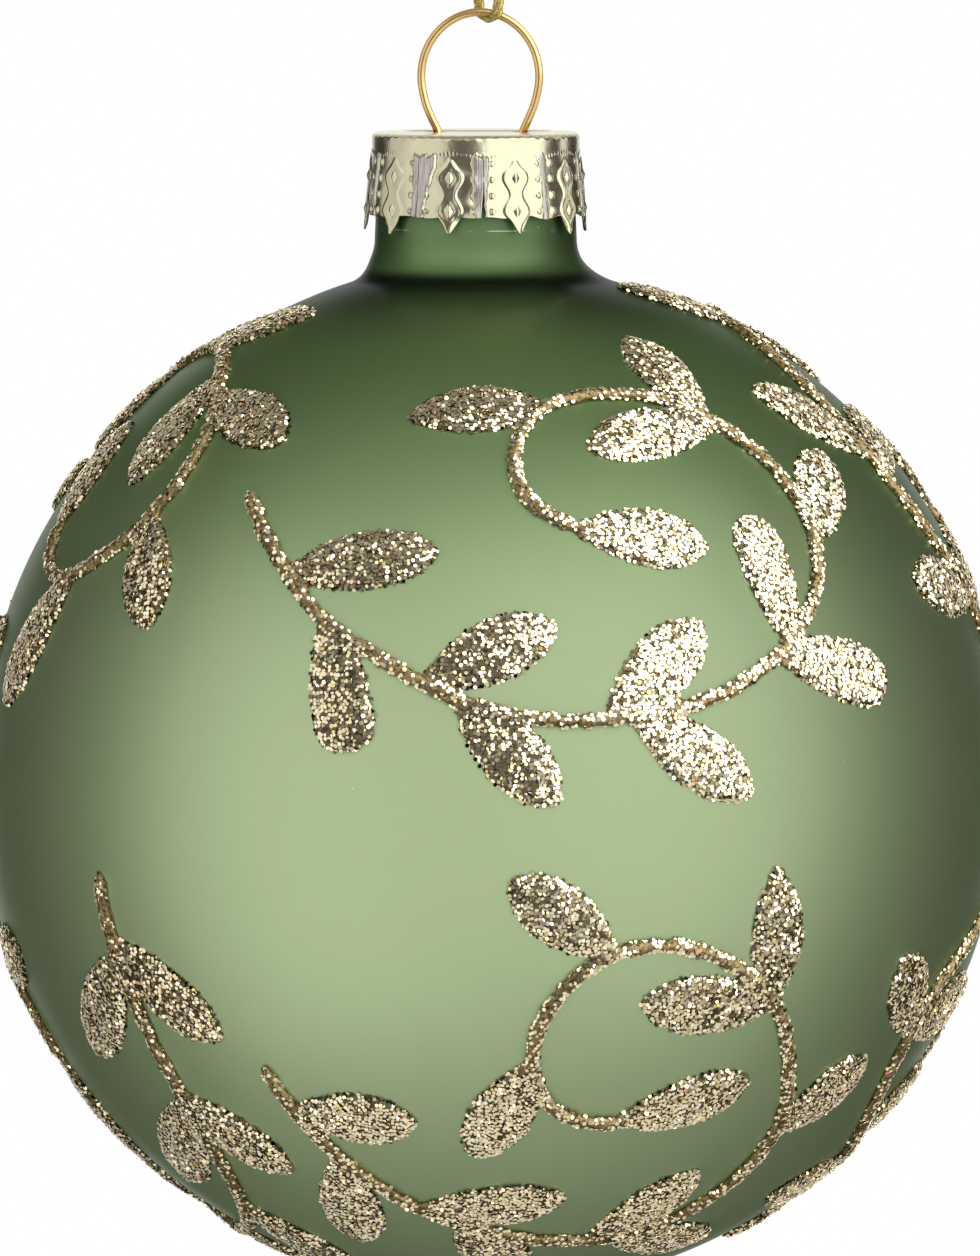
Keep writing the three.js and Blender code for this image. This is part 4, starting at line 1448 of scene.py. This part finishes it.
flaked = [coat for _, _, coat in glitter]
vines = [*flaked, *(bed for _, bed, _ in glitter)]
thin_metal = [hanger, cord, knot]
metal = [cap, *thin_metal]
SOFTBOXES = [
    # Name, longitude, latitude, width and height in metres, radiance, and the pieces that it lights
    ("key_softbox", 43.5, 7, 1.5, 2.7, 1.0, [ball, floor, *thin_metal]),
    ("cap_key_softbox", 45, 8, 1.6, 2.4, 1.42, [cap]),
    ("dim_key_softbox", 45, 4, 1.6, 2.4, 0.5, vines),
    ("fill_softbox", -55, -4, 1.0, 2.4, 0.98, [ball, floor, *thin_metal]),
    ("cap_fill_softbox", -57, -4, 1.0, 2.4, 0.82, [cap]),
    ("dim_fill_softbox", -62, -6, 1.0, 2.2, 1.12, vines),
    ("front_softbox", -11, -4, 0.62, 4.0, 0.78, [ball]),
    ("front_card", -11, 0, 0.62, 2.0, 0.2, thin_metal),
    ("flake_front_card", -11, 0, 0.62, 2.0, 0.13, flaked),
    ("high_softbox", -8, 66, 1.7, 1.0, 0.17, [ball]),
    ("low_softbox", 0, -74, 1.7, 1.4, 0.09, [ball]),
    ("cap_front_card", -11, 0, 0.62, 2.0, 0.08, [cap]),
    ("sparkle_softbox", 67, 34, 2.5, 2.1, 2.5, vines),
    ("wire_softbox", 52, 30, 1.3, 1.0, 1.5, thin_metal),
    ("floor_card", 0, -80, 2.0, 2.0, 0.35, metal),
    ("flake_floor_card", 0, -80, 2.0, 2.0, 0.62, flaked),
    ("top_card", 0, 80, 2.0, 2.0, 0.32, metal),
    ("flake_top_card", 0, 80, 2.0, 2.0, 0.26, flaked),
    ("back_top_card", 180, 42, 1.6, 0.8, 0.6, metal),
    ("left_card", -98, 0, 0.9, 2.0, 0.24, thin_metal),
    ("right_card", 102, 0, 0.9, 2.0, 0.6, thin_metal),
    ("cap_left_card", -99, 0, 0.54, 2.0, 0.62, [cap]),
    ("cap_right_card", 116, 0, 0.25, 2.0, 1.0, [cap]),
    ("left_back_card", -140, 0, 1.2, 2.0, 0.46, [*thin_metal, *flaked]),
    ("right_back_card", 148, 0, 1.0, 2.0, 0.55, [*thin_metal, *flaked]),
]
for softbox in SOFTBOXES:
    add_softbox(*softbox)


def studio_world():
    """White to the camera. Reflections find that white only where they look behind the bauble."""
    world = bpy.data.worlds.new("studio")
    world.use_nodes = True
    bpy.context.scene.world = world
    studio = Graph(world.node_tree)
    seen = studio.node("ShaderNodeLightPath", {}, {}, "Is Camera Ray")
    through = seen.beside("Is Transmission Ray")
    glossy = seen.beside("Is Glossy Ray")
    way = studio.node("ShaderNodeTexCoord", {}, {}, "Generated")
    behind = studio.node("ShaderNodeSeparateXYZ", {}, [way], "Y").between(0.84, 0.98)
    shown = seen + through + glossy * behind
    level = shown.math("MINIMUM", shown, 1.0) * (1 - AMBIENT) + AMBIENT
    shade = studio.node("ShaderNodeBackground", {}, {"Color": (1, 1, 1, 1), "Strength": level})
    studio.node("ShaderNodeOutputWorld", {}, {"Surface": shade})


studio_world()

bpy.context.scene.view_settings.view_transform = "Standard"


# What each piece stands for and moves with

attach(ball, "ball")
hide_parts("glass_ball")

for node, bed, coat in glitter:
    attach(bed, "ball")
    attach(coat, "ball")
    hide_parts(node)

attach(cap, "cap")
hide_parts("crown_cap")

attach(hanger, "hanger")
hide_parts("wire_hanger")

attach(cord, "cord")
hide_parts("cord_loop")

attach(knot, "cord")
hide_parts("cord_knot")
